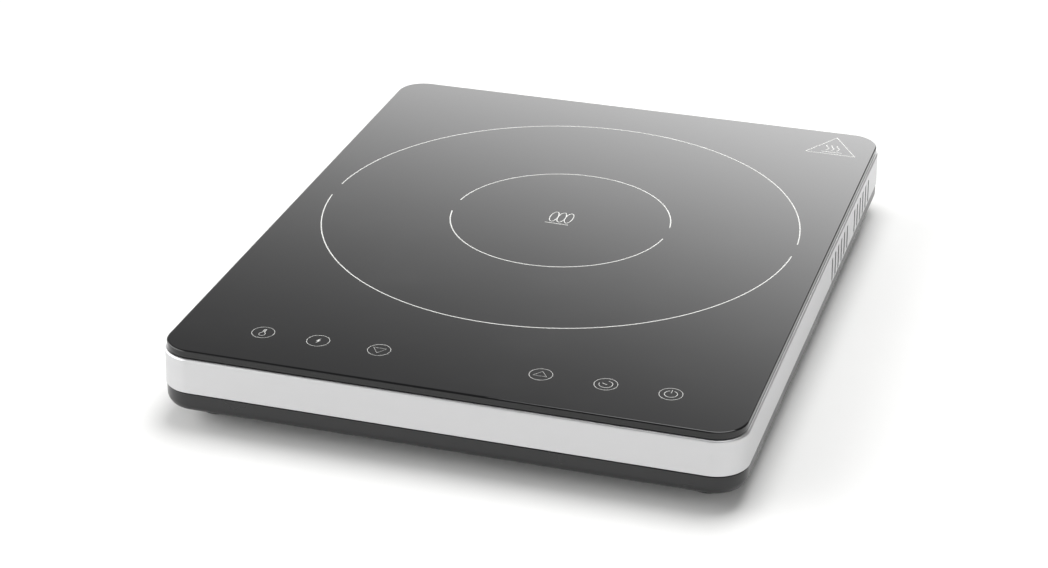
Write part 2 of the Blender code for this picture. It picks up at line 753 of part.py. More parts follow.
def coil_winding(parent):
    half_width = (COIL_PITCH - COIL_TURN_GAP) / 2
    bottom = CARRIER_TOP_Z + GAP
    top = COIL_TOP_Z
    corners = ((-half_width, bottom), (half_width, bottom), (half_width, top), (-half_width, top))
    outlines = []
    for step in range(COIL_TURNS * COIL_TURN_STEPS + 1):
        turns = step / COIL_TURN_STEPS
        angle = math.pi / 2 + math.tau * turns
        outwards = Vector((math.cos(angle), math.sin(angle), 0))
        radius = COIL_INNER_RADIUS + COIL_PITCH * turns
        outlines.append([outwards * (radius + side) + Vector((0, 0, z)) for side, z in corners])
    return place(sweep(outlines), "coil_winding", copper(), (0, COIL_CENTRE_Y, 0), parent)


def ring_profile(inner, outer, bottom_z, top_z):
    return [(inner, bottom_z), (outer, bottom_z), (outer, top_z), (inner, top_z)]


def radial_block(bm, inner, outer, width, bottom_z, top_z, degrees):
    """A bar that points away from the coil's centre."""
    turned = Matrix.Rotation(math.radians(degrees), 4, "Z")
    centre = turned @ Vector(((inner + outer) / 2, 0, (bottom_z + top_z) / 2))
    block(bm, (outer - inner, width, top_z - bottom_z), centre, turned)


def arm_angles():
    return [360 / CARRIER_ARM_COUNT * arm for arm in range(CARRIER_ARM_COUNT)]


def carrier_piece(carrier, name, bm):
    piece = tool(bm, name)
    piece.location = carrier.location
    boolean(carrier, piece, "UNION")


def coil_carrier(parent):
    levels = (CARRIER_BOTTOM_Z, CARRIER_TOP_Z)
    hub = single(turn, ring_profile(CARRIER_HUB_BORE, CARRIER_HUB_RADIUS, *levels), 24)
    carrier = place(hub, "coil_carrier", grey_plastic(), (0, COIL_CENTRE_Y, 0), parent)
    arm_start = (CARRIER_HUB_BORE + CARRIER_HUB_RADIUS) / 2
    for angle in sorted({*arm_angles(), *COIL_LUG_ANGLES}):
        to_lug = angle in COIL_LUG_ANGLES
        reach = COIL_LUG_DISTANCE if to_lug else COIL_ARM_END
        relief = CARRIER_ARM_RELIEF if to_lug else 2 * CARRIER_ARM_RELIEF
        arm_levels = (CARRIER_BOTTOM_Z + relief, CARRIER_TOP_Z - relief)
        arm = single(radial_block, arm_start, reach, CARRIER_ARM_WIDTH, *arm_levels, angle)
        carrier_piece(carrier, f"carrier_arm_{int(angle)}", arm)
    half_ring = CARRIER_RING_WIDTH / 2
    ring = ring_profile(CARRIER_RING_RADIUS - half_ring, CARRIER_RING_RADIUS + half_ring, *levels)
    carrier_piece(carrier, "carrier_ring", single(turn, ring, 36))
    lugs = bmesh.new()
    holes = bmesh.new()
    for x, y in coil_lugs():
        cylinder(lugs, COIL_LUG_RADIUS, *levels, x, y - COIL_CENTRE_Y, steps=14)
        cylinder(holes, SHANK_HOLE, levels[0] - GAP, levels[1] + GAP, x, y - COIL_CENTRE_Y, steps=10)
    carrier_piece(carrier, "carrier_lugs", lugs)
    lug_holes = tool(holes, "carrier_lug_holes")
    lug_holes.location = carrier.location
    boolean(carrier, lug_holes, "DIFFERENCE")
    return carrier


def mica_sheet(parent):
    outer = COIL_OUTER_RADIUS + MICA_MARGIN
    profile = ring_profile(MICA_BORE, outer, MICA_TOP_Z - MICA_THICKNESS, MICA_TOP_Z)
    return place(single(turn, profile, 40), "mica_sheet", mica(), (0, COIL_CENTRE_Y, 0), parent)


def ferrite_bars(parent):
    top = CARRIER_BOTTOM_Z - GAP
    outer = FERRITE_INNER_RADIUS + FERRITE_LENGTH
    for number, angle in enumerate(arm_angles(), 1):
        bar = (FERRITE_INNER_RADIUS, outer, FERRITE_WIDTH, top - FERRITE_THICKNESS, top, angle)
        bm = single(radial_block, *bar)
        place(bm, f"ferrite_bar_{number}", ferrite(), (0, COIL_CENTRE_Y, 0), parent)


def coil_mounts(parent):
    """The springs that press the coil to the glass, and the screws that guide them."""
    lift = SPRING_WIRE + GAP
    grip = CARRIER_TOP_Z + GAP - COIL_BOSS_TOP_Z + COIL_SCREW_GRIP
    downwards = Matrix.Rotation(math.pi, 4, "X")
    for number, (x, y) in enumerate(coil_lugs(), 1):
        ends = (COIL_BOSS_TOP_Z + lift, CARRIER_BOTTOM_Z - lift)
        coil = helix(x, y, *ends, SPRING_RADIUS, SPRING_TURNS)
        tube(f"coil_spring_{number}", coil, SPRING_WIRE, zinc_steel(), parent)
        bm = single(turn, screw_profile(grip), 12, downwards)
        place(bm, f"coil_screw_{number}", zinc_steel(), (x, y, CARRIER_TOP_Z + GAP), parent)


def sensor_holder(parent):
    flange_bottom = CARRIER_TOP_Z + GAP
    flange_top = flange_bottom + SENSOR_FLANGE_THICKNESS
    cup_floor = flange_bottom - SENSOR_HOLDER_DEPTH
    profile = [
        (0, cup_floor),
        (SENSOR_HOLDER_RADIUS, cup_floor),
        (SENSOR_HOLDER_RADIUS, flange_bottom),
        (SENSOR_FLANGE_RADIUS, flange_bottom),
        (SENSOR_FLANGE_RADIUS, flange_top),
        (SENSOR_HOLDER_BORE, flange_top),
        (SENSOR_HOLDER_BORE, cup_floor + SENSOR_HOLDER_FLOOR),
        (0, cup_floor + SENSOR_HOLDER_FLOOR),
    ]
    bm = single(turn, profile, 20)
    return place(bm, "sensor_holder", grey_plastic(), (0, COIL_CENTRE_Y, 0), parent)


def temperature_sensor(parent):
    top = GLASS_BOTTOM_Z - GAP
    bottom = top - SENSOR_HEIGHT
    profile = [
        (0, bottom),
        (SENSOR_RADIUS, bottom),
        (SENSOR_RADIUS, top - SENSOR_CHAMFER),
        (SENSOR_RADIUS - SENSOR_CHAMFER, top),
        (0, top),
    ]
    bm = single(turn, profile, 20)
    silicone = part_body("White silicone cap", (0.75, 0.75, 0.72))
    return place(bm, "temperature_sensor", silicone, (0, COIL_CENTRE_Y, 0), parent)


def coil_leads(parent):
    """The two ends of the winding, down to the power board."""
    start_z = CARRIER_TOP_Z - LEAD_RADIUS / 2
    run_z = CARRIER_BOTTOM_Z - FERRITE_THICKNESS - LEAD_DROP
    inner_y = COIL_CENTRE_Y + COIL_INNER_RADIUS
    outer_y = COIL_CENTRE_Y + COIL_OUTER_RADIUS
    board_y = POWER_BOARD_FRONT_Y + LEAD_BOARD_INSET
    x = LEAD_SIDE_X
    down = min(LEAD_BEND, (run_z - PART_Z) / 2)
    inner = [
        (0, inner_y, start_z),
        (0, inner_y, run_z + LEAD_BEND),
        (0, inner_y + LEAD_BEND / 3, run_z + LEAD_BEND / 3),
        (0, inner_y + LEAD_BEND, run_z),
        (x, board_y - down, run_z),
        (x, board_y - down / 3, run_z - down / 3),
        (x, board_y, run_z - down),
        (x, board_y, PART_Z),
    ]
    outer = [
        (0, outer_y, start_z),
        (0, outer_y, CARRIER_BOTTOM_Z),
        (x, outer_y, CARRIER_BOTTOM_Z - LEAD_DROP),
        (x, outer_y, PART_Z),
    ]
    tube("coil_lead_inner", inner, LEAD_RADIUS, copper(), parent)
    tube("coil_lead_outer", outer, LEAD_RADIUS, copper(), parent)


# ---------------------------------------------------------------- fan


def fan_frame(parent):
    middle = (0, 0, FAN_BOTTOM_Z + FAN_THICKNESS / 2)
    body = single(block, (FAN_SIZE, FAN_SIZE, FAN_THICKNESS), middle)
    edges = [edge for edge in body.edges if abs(edge.verts[0].co.z - edge.verts[1].co.z) > FAN_THICKNESS / 2]
    rounding = {"offset": FAN_HOLE_INSET, "segments": 3, "affect": "EDGES", "profile": 0.5}
    bmesh.ops.bevel(body, geom=edges, **rounding)
    frame = place(body, "fan_frame", black_plastic(), (FAN_X, FAN_Y, 0), parent)
    holes = bmesh.new()
    reach = FAN_SIZE / 2 - FAN_HOLE_INSET
    cylinder(holes, FAN_DUCT_RADIUS, FAN_BOTTOM_Z - GAP, FAN_TOP_Z + GAP, steps=40)
    for a, b in ((-1, -1), (-1, 1), (1, -1), (1, 1)):
        cylinder(holes, FAN_HOLE_RADIUS, FAN_BOTTOM_Z - GAP, FAN_TOP_Z + GAP, a * reach, b * reach, 8)
    duct = tool(holes, "fan_duct")
    duct.location = frame.location
    boolean(frame, duct, "DIFFERENCE")
    motor_top = FAN_BOTTOM_Z + FAN_MOTOR_THICKNESS
    for number, angle in enumerate(FAN_STRUT_ANGLES, 1):
        reach = (FAN_TUBE_RADIUS, FAN_DUCT_RADIUS + FAN_DUCT_WALL / 2)
        strut = single(radial_block, *reach, FAN_STRUT_WIDTH, FAN_BOTTOM_Z, motor_top, angle)
        fan_piece(frame, f"fan_strut_{number}", strut)
    motor = [
        (FAN_TUBE_BORE, FAN_BOTTOM_Z),
        (FAN_MOTOR_RADIUS, FAN_BOTTOM_Z),
        (FAN_MOTOR_RADIUS, motor_top),
        (FAN_TUBE_RADIUS, motor_top),
        (FAN_TUBE_RADIUS, motor_top + FAN_TUBE_HEIGHT),
        (FAN_TUBE_BORE, motor_top + FAN_TUBE_HEIGHT),
    ]
    fan_piece(frame, "fan_motor_plate", single(turn, motor, 20))
    return frame


def fan_piece(frame, name, bm):
    piece = tool(bm, name)
    piece.location = frame.location
    boolean(frame, piece, "UNION")


def fan_bearing(parent):
    bottom = FAN_BOTTOM_Z + FAN_MOTOR_THICKNESS
    inner = SHAFT_RADIUS + BEARING_PLAY
    profile = ring_profile(inner, FAN_TUBE_BORE - GAP, bottom, bottom + BEARING_HEIGHT)
    return place(single(turn, profile, 20), "fan_bearing", zinc_steel(), (FAN_X, FAN_Y, 0), parent)


def blade(bm, angle):
    """One pitched blade: a slanted plate from inside the hub's wall to the tip."""
    inner = FAN_HUB_RADIUS - FAN_HUB_WALL / 2
    outer = FAN_DUCT_RADIUS - FAN_TIP_CLEARANCE
    reach = math.sqrt(outer**2 - (FAN_BLADE_CHORD / 2) ** 2)
    turned = Matrix.Rotation(math.radians(angle), 4, "Z")
    pitched = Matrix.Rotation(math.radians(FAN_BLADE_PITCH), 4, "X")
    centre = turned @ Vector(((inner + reach) / 2, 0, FAN_HUB_HEIGHT / 2))
    block(bm, (reach - inner, FAN_BLADE_CHORD, FAN_BLADE_THICKNESS), centre, turned @ pitched)


def fan_rotor(parent):
    bore = SHAFT_RADIUS + GAP
    boss = bore + FAN_HUB_WALL
    inside = FAN_HUB_RADIUS - FAN_HUB_WALL
    ceiling = FAN_HUB_HEIGHT - FAN_HUB_WALL
    profile = [
        (bore, FAN_HUB_HEIGHT),
        (bore, ceiling - FAN_HUB_WALL),
        (boss, ceiling - FAN_HUB_WALL),
        (boss, ceiling),
        (inside, ceiling),
        (inside, 0),
        (FAN_HUB_RADIUS, 0),
        (FAN_HUB_RADIUS, FAN_HUB_HEIGHT - FAN_HUB_CHAMFER),
        (FAN_HUB_RADIUS - FAN_HUB_CHAMFER, FAN_HUB_HEIGHT),
    ]
    rotor = place(single(turn, profile, 28), "fan_rotor", black_plastic(), parent=parent)
    blades = bmesh.new()
    for number in range(FAN_BLADE_COUNT):
        blade(blades, 360 / FAN_BLADE_COUNT * number)
    tool_blades = tool(blades, "fan_blades")
    tool_blades.parent = parent
    boolean(rotor, tool_blades, "UNION")
    return rotor


def fan_shaft(parent):
    foot = FAN_BOTTOM_Z + FAN_MOTOR_THICKNESS - FAN_ROTOR_Z
    bm = single(cylinder, SHAFT_RADIUS, foot, FAN_HUB_HEIGHT - GAP, steps=20)
    return place(bm, "fan_shaft", zinc_steel(), parent=parent)


def fan(parent):
    fan_frame(parent)
    fan_bearing(parent)
    axis = bpy.data.objects.new("fan_axis", None)
    bpy.context.scene.collection.objects.link(axis)
    axis.location = (FAN_X, FAN_Y, FAN_ROTOR_Z)
    axis.parent = parent
    fan_rotor(axis)
    fan_shaft(axis)


# ---------------------------------------------------------------- power board


def board(name, left, right, front, rear, bottom_z, holes, parent):
    middle = ((left + right) / 2, (front + rear) / 2, bottom_z + BOARD_THICKNESS / 2)
    bm = single(block, (right - left, rear - front, BOARD_THICKNESS), middle)
    plate = place(bm, name, circuit_board(), parent=parent)
    cutter = bmesh.new()
    for x, y in holes:
        cylinder(cutter, SHANK_HOLE, bottom_z - GAP, bottom_z + BOARD_THICKNESS + GAP, x, y, steps=8)
    boolean(plate, tool(cutter, f"{name}_holes"), "DIFFERENCE")
    return plate


def power_board(parent):
    sides = (POWER_BOARD_LEFT, POWER_BOARD_RIGHT, POWER_BOARD_FRONT_Y, POWER_BOARD_REAR_Y)
    return board("power_board", *sides, POWER_BOARD_BOTTOM_Z, power_board_posts(), parent)


def heatsink(parent):
    """An extrusion along X: a plate on two rails, with upright fins."""
    width, depth, height = HEATSINK_SIZE
    rail = CHIP_HEIGHT + GAP
    plate_top = rail + HEATSINK_BASE
    pitch = (depth - HEATSINK_FIN) / (HEATSINK_FIN_COUNT - 1)
    outline = [(0, 0), (HEATSINK_FIN, 0), (HEATSINK_FIN, rail)]
    outline += [(depth - HEATSINK_FIN, rail), (depth - HEATSINK_FIN, 0), (depth, 0)]
    for fin in reversed(range(HEATSINK_FIN_COUNT)):
        near = fin * pitch
        far = near + HEATSINK_FIN
        if fin < HEATSINK_FIN_COUNT - 1:
            outline.append((far, plate_top))
        outline += [(far, height), (near, height)]
        if fin > 0:
            outline.append((near, plate_top))
    bm = bmesh.new()
    verts = [bm.verts.new((-width / 2, y - depth / 2, z)) for y, z in outline]
    end = bm.faces.new(verts)
    extruded = bmesh.ops.extrude_face_region(bm, geom=[end], use_keep_orig=True)["geom"]
    moved = [item for item in extruded if isinstance(item, bmesh.types.BMVert)]
    bmesh.ops.translate(bm, vec=(width, 0, 0), verts=moved)
    return place(bm, "heatsink", aluminium(), (HEATSINK_X, HEATSINK_Y, PART_Z), parent)


def boxed_part(name, size, x, y, colour, parent):
    """A board part in a rectangular case with slightly rounded edges."""
    bm = single(block, size, (0, 0, size[2] / 2))
    rounding = {"offset": PART_EDGE, "segments": 1, "affect": "EDGES", "profile": 0.5}
    bmesh.ops.bevel(bm, geom=bm.edges[:], **rounding)
    return place(bm, name, part_body(f"{name} case", colour), (x, y, PART_Z), parent)


def power_chips(parent):
    offset = HEATSINK_SIZE[0] / 4
    black = (0.03, 0.03, 0.03)
    chips = {"igbt": (IGBT_SIZE, -offset), "bridge_rectifier": (RECTIFIER_SIZE, offset)}
    for name, (size, shift) in chips.items():
        boxed_part(name, (*size, CHIP_HEIGHT), HEATSINK_X + shift, HEATSINK_Y, black, parent)


def boxed_parts(parent):
    yellow = (0.75, 0.52, 0.08)
    x = COIL_SIDE_PART_X
    boxed_part("resonance_capacitor", RESONANCE_CAPACITOR_SIZE, x, REAR_ROW_Y, yellow, parent)
    boxed_part("bus_capacitor", BUS_CAPACITOR_SIZE, x, FRONT_ROW_Y, yellow, parent)
    transformer_y = POWER_BOARD_FRONT_Y + HEATSINK_FRONT_GAP + TRANSFORMER_SIZE[1] / 2
    amber = (0.55, 0.38, 0.10)
    boxed_part("standby_transformer", TRANSFORMER_SIZE, TRANSFORMER_X, transformer_y, amber, parent)
    green = (0.05, 0.25, 0.10)
    boxed_part("terminal_block", TERMINAL_BLOCK_SIZE, MAINS_SIDE_X, REAR_ROW_Y, green, parent)


def filter_choke(parent):
    profile = ring_profile(CHOKE_BORE, CHOKE_RADIUS, 0, CHOKE_HEIGHT)
    green = part_body("Green choke core", (0.06, 0.20, 0.14))
    bm = single(turn, profile, 20)
    return place(bm, "filter_choke", green, (MAINS_SIDE_X, FRONT_ROW_Y, PART_Z), parent)


def fuse(parent):
    y = POWER_BOARD_FRONT_Y + FUSE_INSET
    bm = single(cylinder, FUSE_RADIUS, -FUSE_LENGTH / 2, FUSE_LENGTH / 2, steps=14)
    bmesh.ops.rotate(bm, matrix=Matrix.Rotation(math.pi / 2, 3, "Y"), verts=bm.verts)
    glass = part_body("Fuse glass", (0.55, 0.58, 0.60))
    return place(bm, "fuse", glass, (MAINS_SIDE_X, y, PART_Z + FUSE_RADIUS), parent)


def varistor(parent):
    half = VARISTOR_THICKNESS / 2
    bm = single(cylinder, VARISTOR_RADIUS, -half, half, steps=18)
    bmesh.ops.rotate(bm, matrix=Matrix.Rotation(math.pi / 2, 3, "X"), verts=bm.verts)
    blue = part_body("Blue varistor coating", (0.04, 0.10, 0.35))
    return place(bm, "varistor", blue, (LEAD_SIDE_X, REAR_ROW_Y, PART_Z + VARISTOR_RADIUS), parent)


def electrolytic_capacitor(parent):
    top = ELECTROLYTIC_HEIGHT
    profile = [(0, 0), (ELECTROLYTIC_RADIUS, 0), (ELECTROLYTIC_RADIUS, top - PART_EDGE)]
    profile += [(ELECTROLYTIC_RADIUS - PART_EDGE, top), (0, top)]
    sleeve = part_body("Black capacitor sleeve", (0.02, 0.02, 0.05))
    where = (TRANSFORMER_X, REAR_ROW_Y, PART_Z)
    return place(single(turn, profile, 18), "electrolytic_capacitor", sleeve, where, parent)


def buzzer(parent):
    y = POWER_BOARD_FRONT_Y + BUZZER_RADIUS + POWER_BOARD_SIDE_GAP
    bm = single(cylinder, BUZZER_RADIUS, 0, BUZZER_HEIGHT, steps=18)
    black = part_body("Buzzer case", (0.02, 0.02, 0.02))
    return place(bm, "buzzer", black, (COIL_SIDE_PART_X, y, PART_Z), parent)


# ---------------------------------------------------------------- controls


def control_board(parent):
    half = CONTROL_BOARD_HALF_WIDTH
    front = KEY_Y - CONTROL_BOARD_DEPTH / 2
    sides = (-half, half, front, front + CONTROL_BOARD_DEPTH)
    return board("control_board", *sides, CONTROL_BOARD_BOTTOM_Z, board_posts(), parent)


def led_display(parent):
    bm = single(block, DISPLAY_SIZE, (0, 0, DISPLAY_SIZE[2] / 2))
    case = part_body("Display case", (0.05, 0.05, 0.05))
    return place(bm, "led_display", case, (0, KEY_Y, CONTROL_BOARD_TOP_Z + GAP), parent)


def touch_springs(parent):
    bottom = CONTROL_BOARD_TOP_Z + GAP + TOUCH_SPRING_WIRE
    top = GLASS_BOTTOM_Z - GAP - TOUCH_SPRING_WIRE
    for number, x in enumerate(KEY_X, 1):
        coil = helix(x, KEY_Y, bottom, top, TOUCH_SPRING_RADIUS, TOUCH_SPRING_TURNS)
        tube(f"touch_spring_{number}", coil, TOUCH_SPRING_WIRE, zinc_steel(), parent)


def ribbon_cable(parent):
    """A flat cable from under the control board, along the floor, up to the power board's edge."""
    floor_z = FLOOR_Z + GAP + RIBBON_THICKNESS
    board_edge_y = POWER_BOARD_FRONT_Y - GAP - 3 * RIBBON_THICKNESS
    start_y = KEY_Y + CONTROL_BOARD_DEPTH / 4
    route = [
        (start_y, CONTROL_BOARD_BOTTOM_Z - GAP),
        (start_y, floor_z + RIBBON_BEND),
        (start_y + RIBBON_BEND, floor_z),
        (board_edge_y - RIBBON_BEND, floor_z),
        (board_edge_y, floor_z + RIBBON_BEND),
        (board_edge_y, PART_Z + RIBBON_BEND),
    ]
    bm = bmesh.new()
    verts = [bm.verts.new((0, y, z)) for y, z in route]
    edges = [bm.edges.new(pair) for pair in zip(verts, verts[1:])]
    extruded = bmesh.ops.extrude_edge_only(bm, edges=edges)["geom"]
    moved = [item for item in extruded if isinstance(item, bmesh.types.BMVert)]
    bmesh.ops.translate(bm, vec=(RIBBON_WIDTH, 0, 0), verts=moved)
    grey = part_body("Grey ribbon insulation", (0.45, 0.45, 0.47))
    cable = place(bm, "ribbon_cable", grey, (TRANSFORMER_X - RIBBON_WIDTH / 2, 0, 0), parent)
    thickness = cable.modifiers.new("insulation", "SOLIDIFY")
    thickness.thickness = RIBBON_THICKNESS
    thickness.offset = 0
    thickness.use_even_offset = True
    return cable


# ---------------------------------------------------------------- assembly


def build():
    clear_scene()
    hob = bpy.data.objects.new("hob", None)
    bpy.context.scene.collection.objects.link(hob)
    case = (glass_plate, glass_seal, trim_band, base_pan, feet, case_screws, cord_gland)
    coil = (coil_winding, coil_carrier, mica_sheet, ferrite_bars, coil_mounts, sensor_holder)
    coil += (temperature_sensor, coil_leads)
    power = (power_board, heatsink, power_chips, boxed_parts, filter_choke, fuse, varistor)
    power += (electrolytic_capacitor, buzzer)
    controls = (control_board, led_display, touch_springs, ribbon_cable)
    for maker in case + coil + (fan,) + power + controls:
        maker(hob)


build()
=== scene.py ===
"""Looks of a portable induction hob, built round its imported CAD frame, as a Blender add-on."""

import json
import math

import bmesh
import bpy
from bpy.props import FloatProperty, FloatVectorProperty, IntProperty, PointerProperty
from mathutils import Matrix, Vector


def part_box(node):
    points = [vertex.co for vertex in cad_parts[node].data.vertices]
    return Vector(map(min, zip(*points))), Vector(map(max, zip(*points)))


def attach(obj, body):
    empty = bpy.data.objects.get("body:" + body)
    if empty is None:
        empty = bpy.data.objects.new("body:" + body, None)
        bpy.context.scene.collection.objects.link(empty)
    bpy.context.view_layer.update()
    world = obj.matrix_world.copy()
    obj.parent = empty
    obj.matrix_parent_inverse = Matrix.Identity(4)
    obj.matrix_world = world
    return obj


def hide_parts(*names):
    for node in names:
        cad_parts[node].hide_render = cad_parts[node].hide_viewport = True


bl_info = {
    "name": "Portable induction hob",
    "version": (1, 0, 0),
    "blender": (4, 5, 0),
    "location": "3D View > Sidebar > Hob",
    "description": "Builds the looks of a portable induction hob on its CAD frame",
    "category": "Add Mesh",
}

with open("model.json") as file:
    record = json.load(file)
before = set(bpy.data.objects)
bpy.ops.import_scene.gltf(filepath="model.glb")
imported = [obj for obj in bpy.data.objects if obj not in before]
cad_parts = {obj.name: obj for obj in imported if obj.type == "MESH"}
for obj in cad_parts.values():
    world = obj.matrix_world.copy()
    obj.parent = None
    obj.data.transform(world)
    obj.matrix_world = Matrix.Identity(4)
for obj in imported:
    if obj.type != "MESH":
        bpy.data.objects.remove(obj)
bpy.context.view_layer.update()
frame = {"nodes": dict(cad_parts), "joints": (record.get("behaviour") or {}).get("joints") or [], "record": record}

MM = 0.001

# Places that come from the frame
GLASS_LOW, GLASS_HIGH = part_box("glass_plate")
BAND_LOW, BAND_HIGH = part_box("trim_band")
BASE_LOW, BASE_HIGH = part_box("base_pan")
FAN_LOW, FAN_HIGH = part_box("fan_frame")
WHEEL_LOW, WHEEL_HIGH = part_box("fan_rotor")
COIL_LOW, COIL_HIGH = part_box("coil_winding")
HALF_X = GLASS_HIGH.x
HALF_Y = GLASS_HIGH.y
GLASS_TOP = GLASS_HIGH.z
BASE_OFFSET = BASE_HIGH.x - HALF_X
COIL_CENTRE = frame["record"]["mounts"][0]["pos_m"]
FAN_AXIS = frame["joints"][0]["pos_m"]
FOOT_NAMES = ("front_left", "front_right", "rear_left", "rear_right")
CASE_SCREWS = 6
COIL_SCREWS = 3

# Outline and section of the case. An offset is measured outwards from the glass's edge
CORNER_RADIUS = 15.5 * MM
CORNER_STEPS = 20
GLASS_EDGE = 0.9 * MM
GLASS_CHAMFER = 0.4 * MM
BAND_TOP_OFFSET = 1.0 * MM
BAND_RIM = 1.2 * MM
BAND_INNER_OFFSET = -0.8 * MM
BAND_FOOT_EDGE = 0.25 * MM
LEDGE_TOP = BAND_HIGH.z - 1.6 * MM
LEDGE_BOTTOM = LEDGE_TOP - 1.5 * MM
LEDGE_WIDTH = 13.2 * MM
BASE_EDGE_RADIUS = 5.5 * MM
BASE_WALL = 2.0 * MM
BASE_TOP = BAND_LOW.z - 0.5 * MM
BASE_LIP_EDGE = 0.35 * MM
LIP_GAP = 0.3 * MM
LIP_WALL = 1.4 * MM
LIP_ROOT = BASE_TOP - 1.8 * MM

# The band's vent slots, and the posts that take the case screws
VENT_WIDTH = 3.0 * MM
VENT_CUT = 9.0 * MM
VENT_EDGE = 0.6 * MM
VENT_MARGIN = 0.95 * MM
VENT_PITCH = 8.5 * MM
VENT_GROUP_STEP = 64.0 * MM
VENT_REAR_INSET = 43.0 * MM
VENT_COUNT = 6
BOSS_TOP = BASE_LOW.z + 11 * MM
POST_BOTTOM = BOSS_TOP + 0.3 * MM
POST_TOP = LEDGE_BOTTOM + 0.5 * MM
POST_RADIUS = 4 * MM
SCREW_BORE = 1.8 * MM

# The shell's bosses, recesses and grille
CASE_BOSS = 5.2 * MM
COIL_BOSS = 4.5 * MM
COIL_BORE_DEPTH = 6 * MM
SCREW_SEAT = BASE_LOW.z + 6 * MM
RECESS_MOUTH = 3.6 * MM
RECESS_RADIUS = 3.3 * MM
RECESS_CHAMFER = 0.3 * MM
FOOT_HOLE = 3.5 * MM
GRILLE_RADIUS = 36.0 * MM
GRILLE_PITCH = 8.0 * MM
GRILLE_SLOT = 4.0 * MM
# The hole for the gland, as (radius, depth) in millimetres
GLAND_HOLE = ((0, -2), (5, -2), (5, 2), (6.1, 2), (6.1, 6), (0, 6))
GLAND_FLANGE = ((4.7, 2.3), (5.8, 2.3), (5.8, 3.8), (3.6, 3.8))

# Feet and screws, in millimetres where they are (radius, z) points
FOOT_DIMPLE = ((0, 0.8), (5.5, 0.8), (6.0, 0.3), (6.4, 0))
FOOT_EDGE = 1.2 * MM
FOOT_SHOULDER = 0.4 * MM
FOOT_STEM = 3.2 * MM
FOOT_BARB = 4.4 * MM
SCREW_HEAD = ((0, -2), (1.3, -2), (2.1, -1.85), (2.75, -1.35), (3, -0.7), (3, 0), (1.25, 0))
SCREW_HEAD_HEIGHT = 2 * MM
THREAD_RADIUS = 1.5 * MM
THREAD_CORE = 1.15 * MM
THREAD_PITCH = 1.0 * MM
THREAD_START = 0.8 * MM
SCREW_TIP = 2.2 * MM
CROSS_ARMS = ((3.0 * MM, 0.75 * MM, 2.4 * MM), (0.75 * MM, 3.0 * MM, 2.4 * MM))

# Fan
FAN_WALL = 2.5 * MM
FAN_FLARE = 1.2 * MM
FAN_FLARE_DEPTH = 1.5 * MM
FAN_CORNER = 4.2 * MM
FAN_HOLE = 2.2 * MM
MOTOR_RADIUS = 14 * MM
MOTOR_PLATE = 1.8 * MM
BEARING_BORE = 3.3 * MM
BEARING_RADIUS = 5 * MM
BEARING_HEIGHT = 7 * MM
SPIDER_ROOT = 12 * MM
SPIDER_ARM = (4 * MM, 1.7 * MM)
SPIDER_ANGLES = (30, 150, 270)
HUB_RADIUS = 15 * MM
HUB_WALL = 1.6 * MM
HUB_EDGE = 1.4 * MM
SHAFT_BORE = 1.8 * MM
SHAFT_COLLAR = (3.4 * MM, 3.2 * MM)
BLADE_INSET = 0.3 * MM
BLADE_WALL = 1.0 * MM
BLADE_GRID = (6, 5)

# Coil
COIL_INNER = 27.0 * MM
COIL_OUTER = 87.0 * MM
COIL_STEPS = 48
WIRE_SHARE = 0.47

# Print on the glass: points in millimetres, from the glass's centre or from a sign's own
INK_HEIGHT = 0.03 * MM
RING_GAP = (-7.9 * MM, 6.9 * MM)
RING_STEPS = 150
LOOP_CENTRES = ((-3.9, 20.5), (0.3, 20.5), (4.4, 20.5))
LOOP_SIZE = (2.05 * MM, 6.1 * MM)
LOOP_LINE = 0.48 * MM
LOOP_BASE = ((-6.8, 12.4), (6.2, 12.2))
KEY_CENTRES = (
    (-101.2, -152.6), (-72.4, -152.6), (-40.9, -152.6), (40.8, -152.6), (72.8, -152.6),
    (104.4, -152.6),
)
THERMOMETER = (
    (-0.55, 2.6), (-0.3, 3.4), (0.3, 3.4), (0.55, 2.6), (0.6, 0.2), (1.45, -0.9), (1.5, -2.3),
    (0.7, -3.2), (-0.7, -3.2), (-1.5, -2.3), (-1.45, -0.9), (-0.6, 0.2),
)
MERCURY = ((0.05, 2.9), (0.05, 0.4))
BOLT = ((0.6, 2.4), (-1.1, -0.3), (-0.1, -0.2), (-0.5, -2.5), (1.1, 0.4), (0.15, 0.3))
DOWN = ((-3.5, 2.0), (3.2, 2.0), (-0.1, -3.1))
UP = ((-3.4, -1.6), (3.3, -1.6), (0.0, 3.2))
CLOCK_RADIUS = 3.3 * MM
CLOCK_HANDS = ((-1.9, 0.8), (0.3, -0.3), (0.5, 0.2))
POWER_RADIUS = 3.1 * MM
POWER_BAR = ((-0.1, 3.9), (-0.1, 1.1))
SIGN_CORNERS = ((107.3, 149.9), (135.6, 149.7), (121.0, 174.2))
SIGN_BAR = ((116.0, 152.6), (127.5, 152.6))
WAVE_FEET = ((118.4, 154), (121.4, 154), (124.5, 154))
WAVE = ((-0.9, 8.2), (-1.1, 7.2), (-0.5, 5.8), (0.6, 4.4), (0.9, 3.0), (0.4, 1.8), (-0.4, 0.8))
THIN_SHARE = 0.6

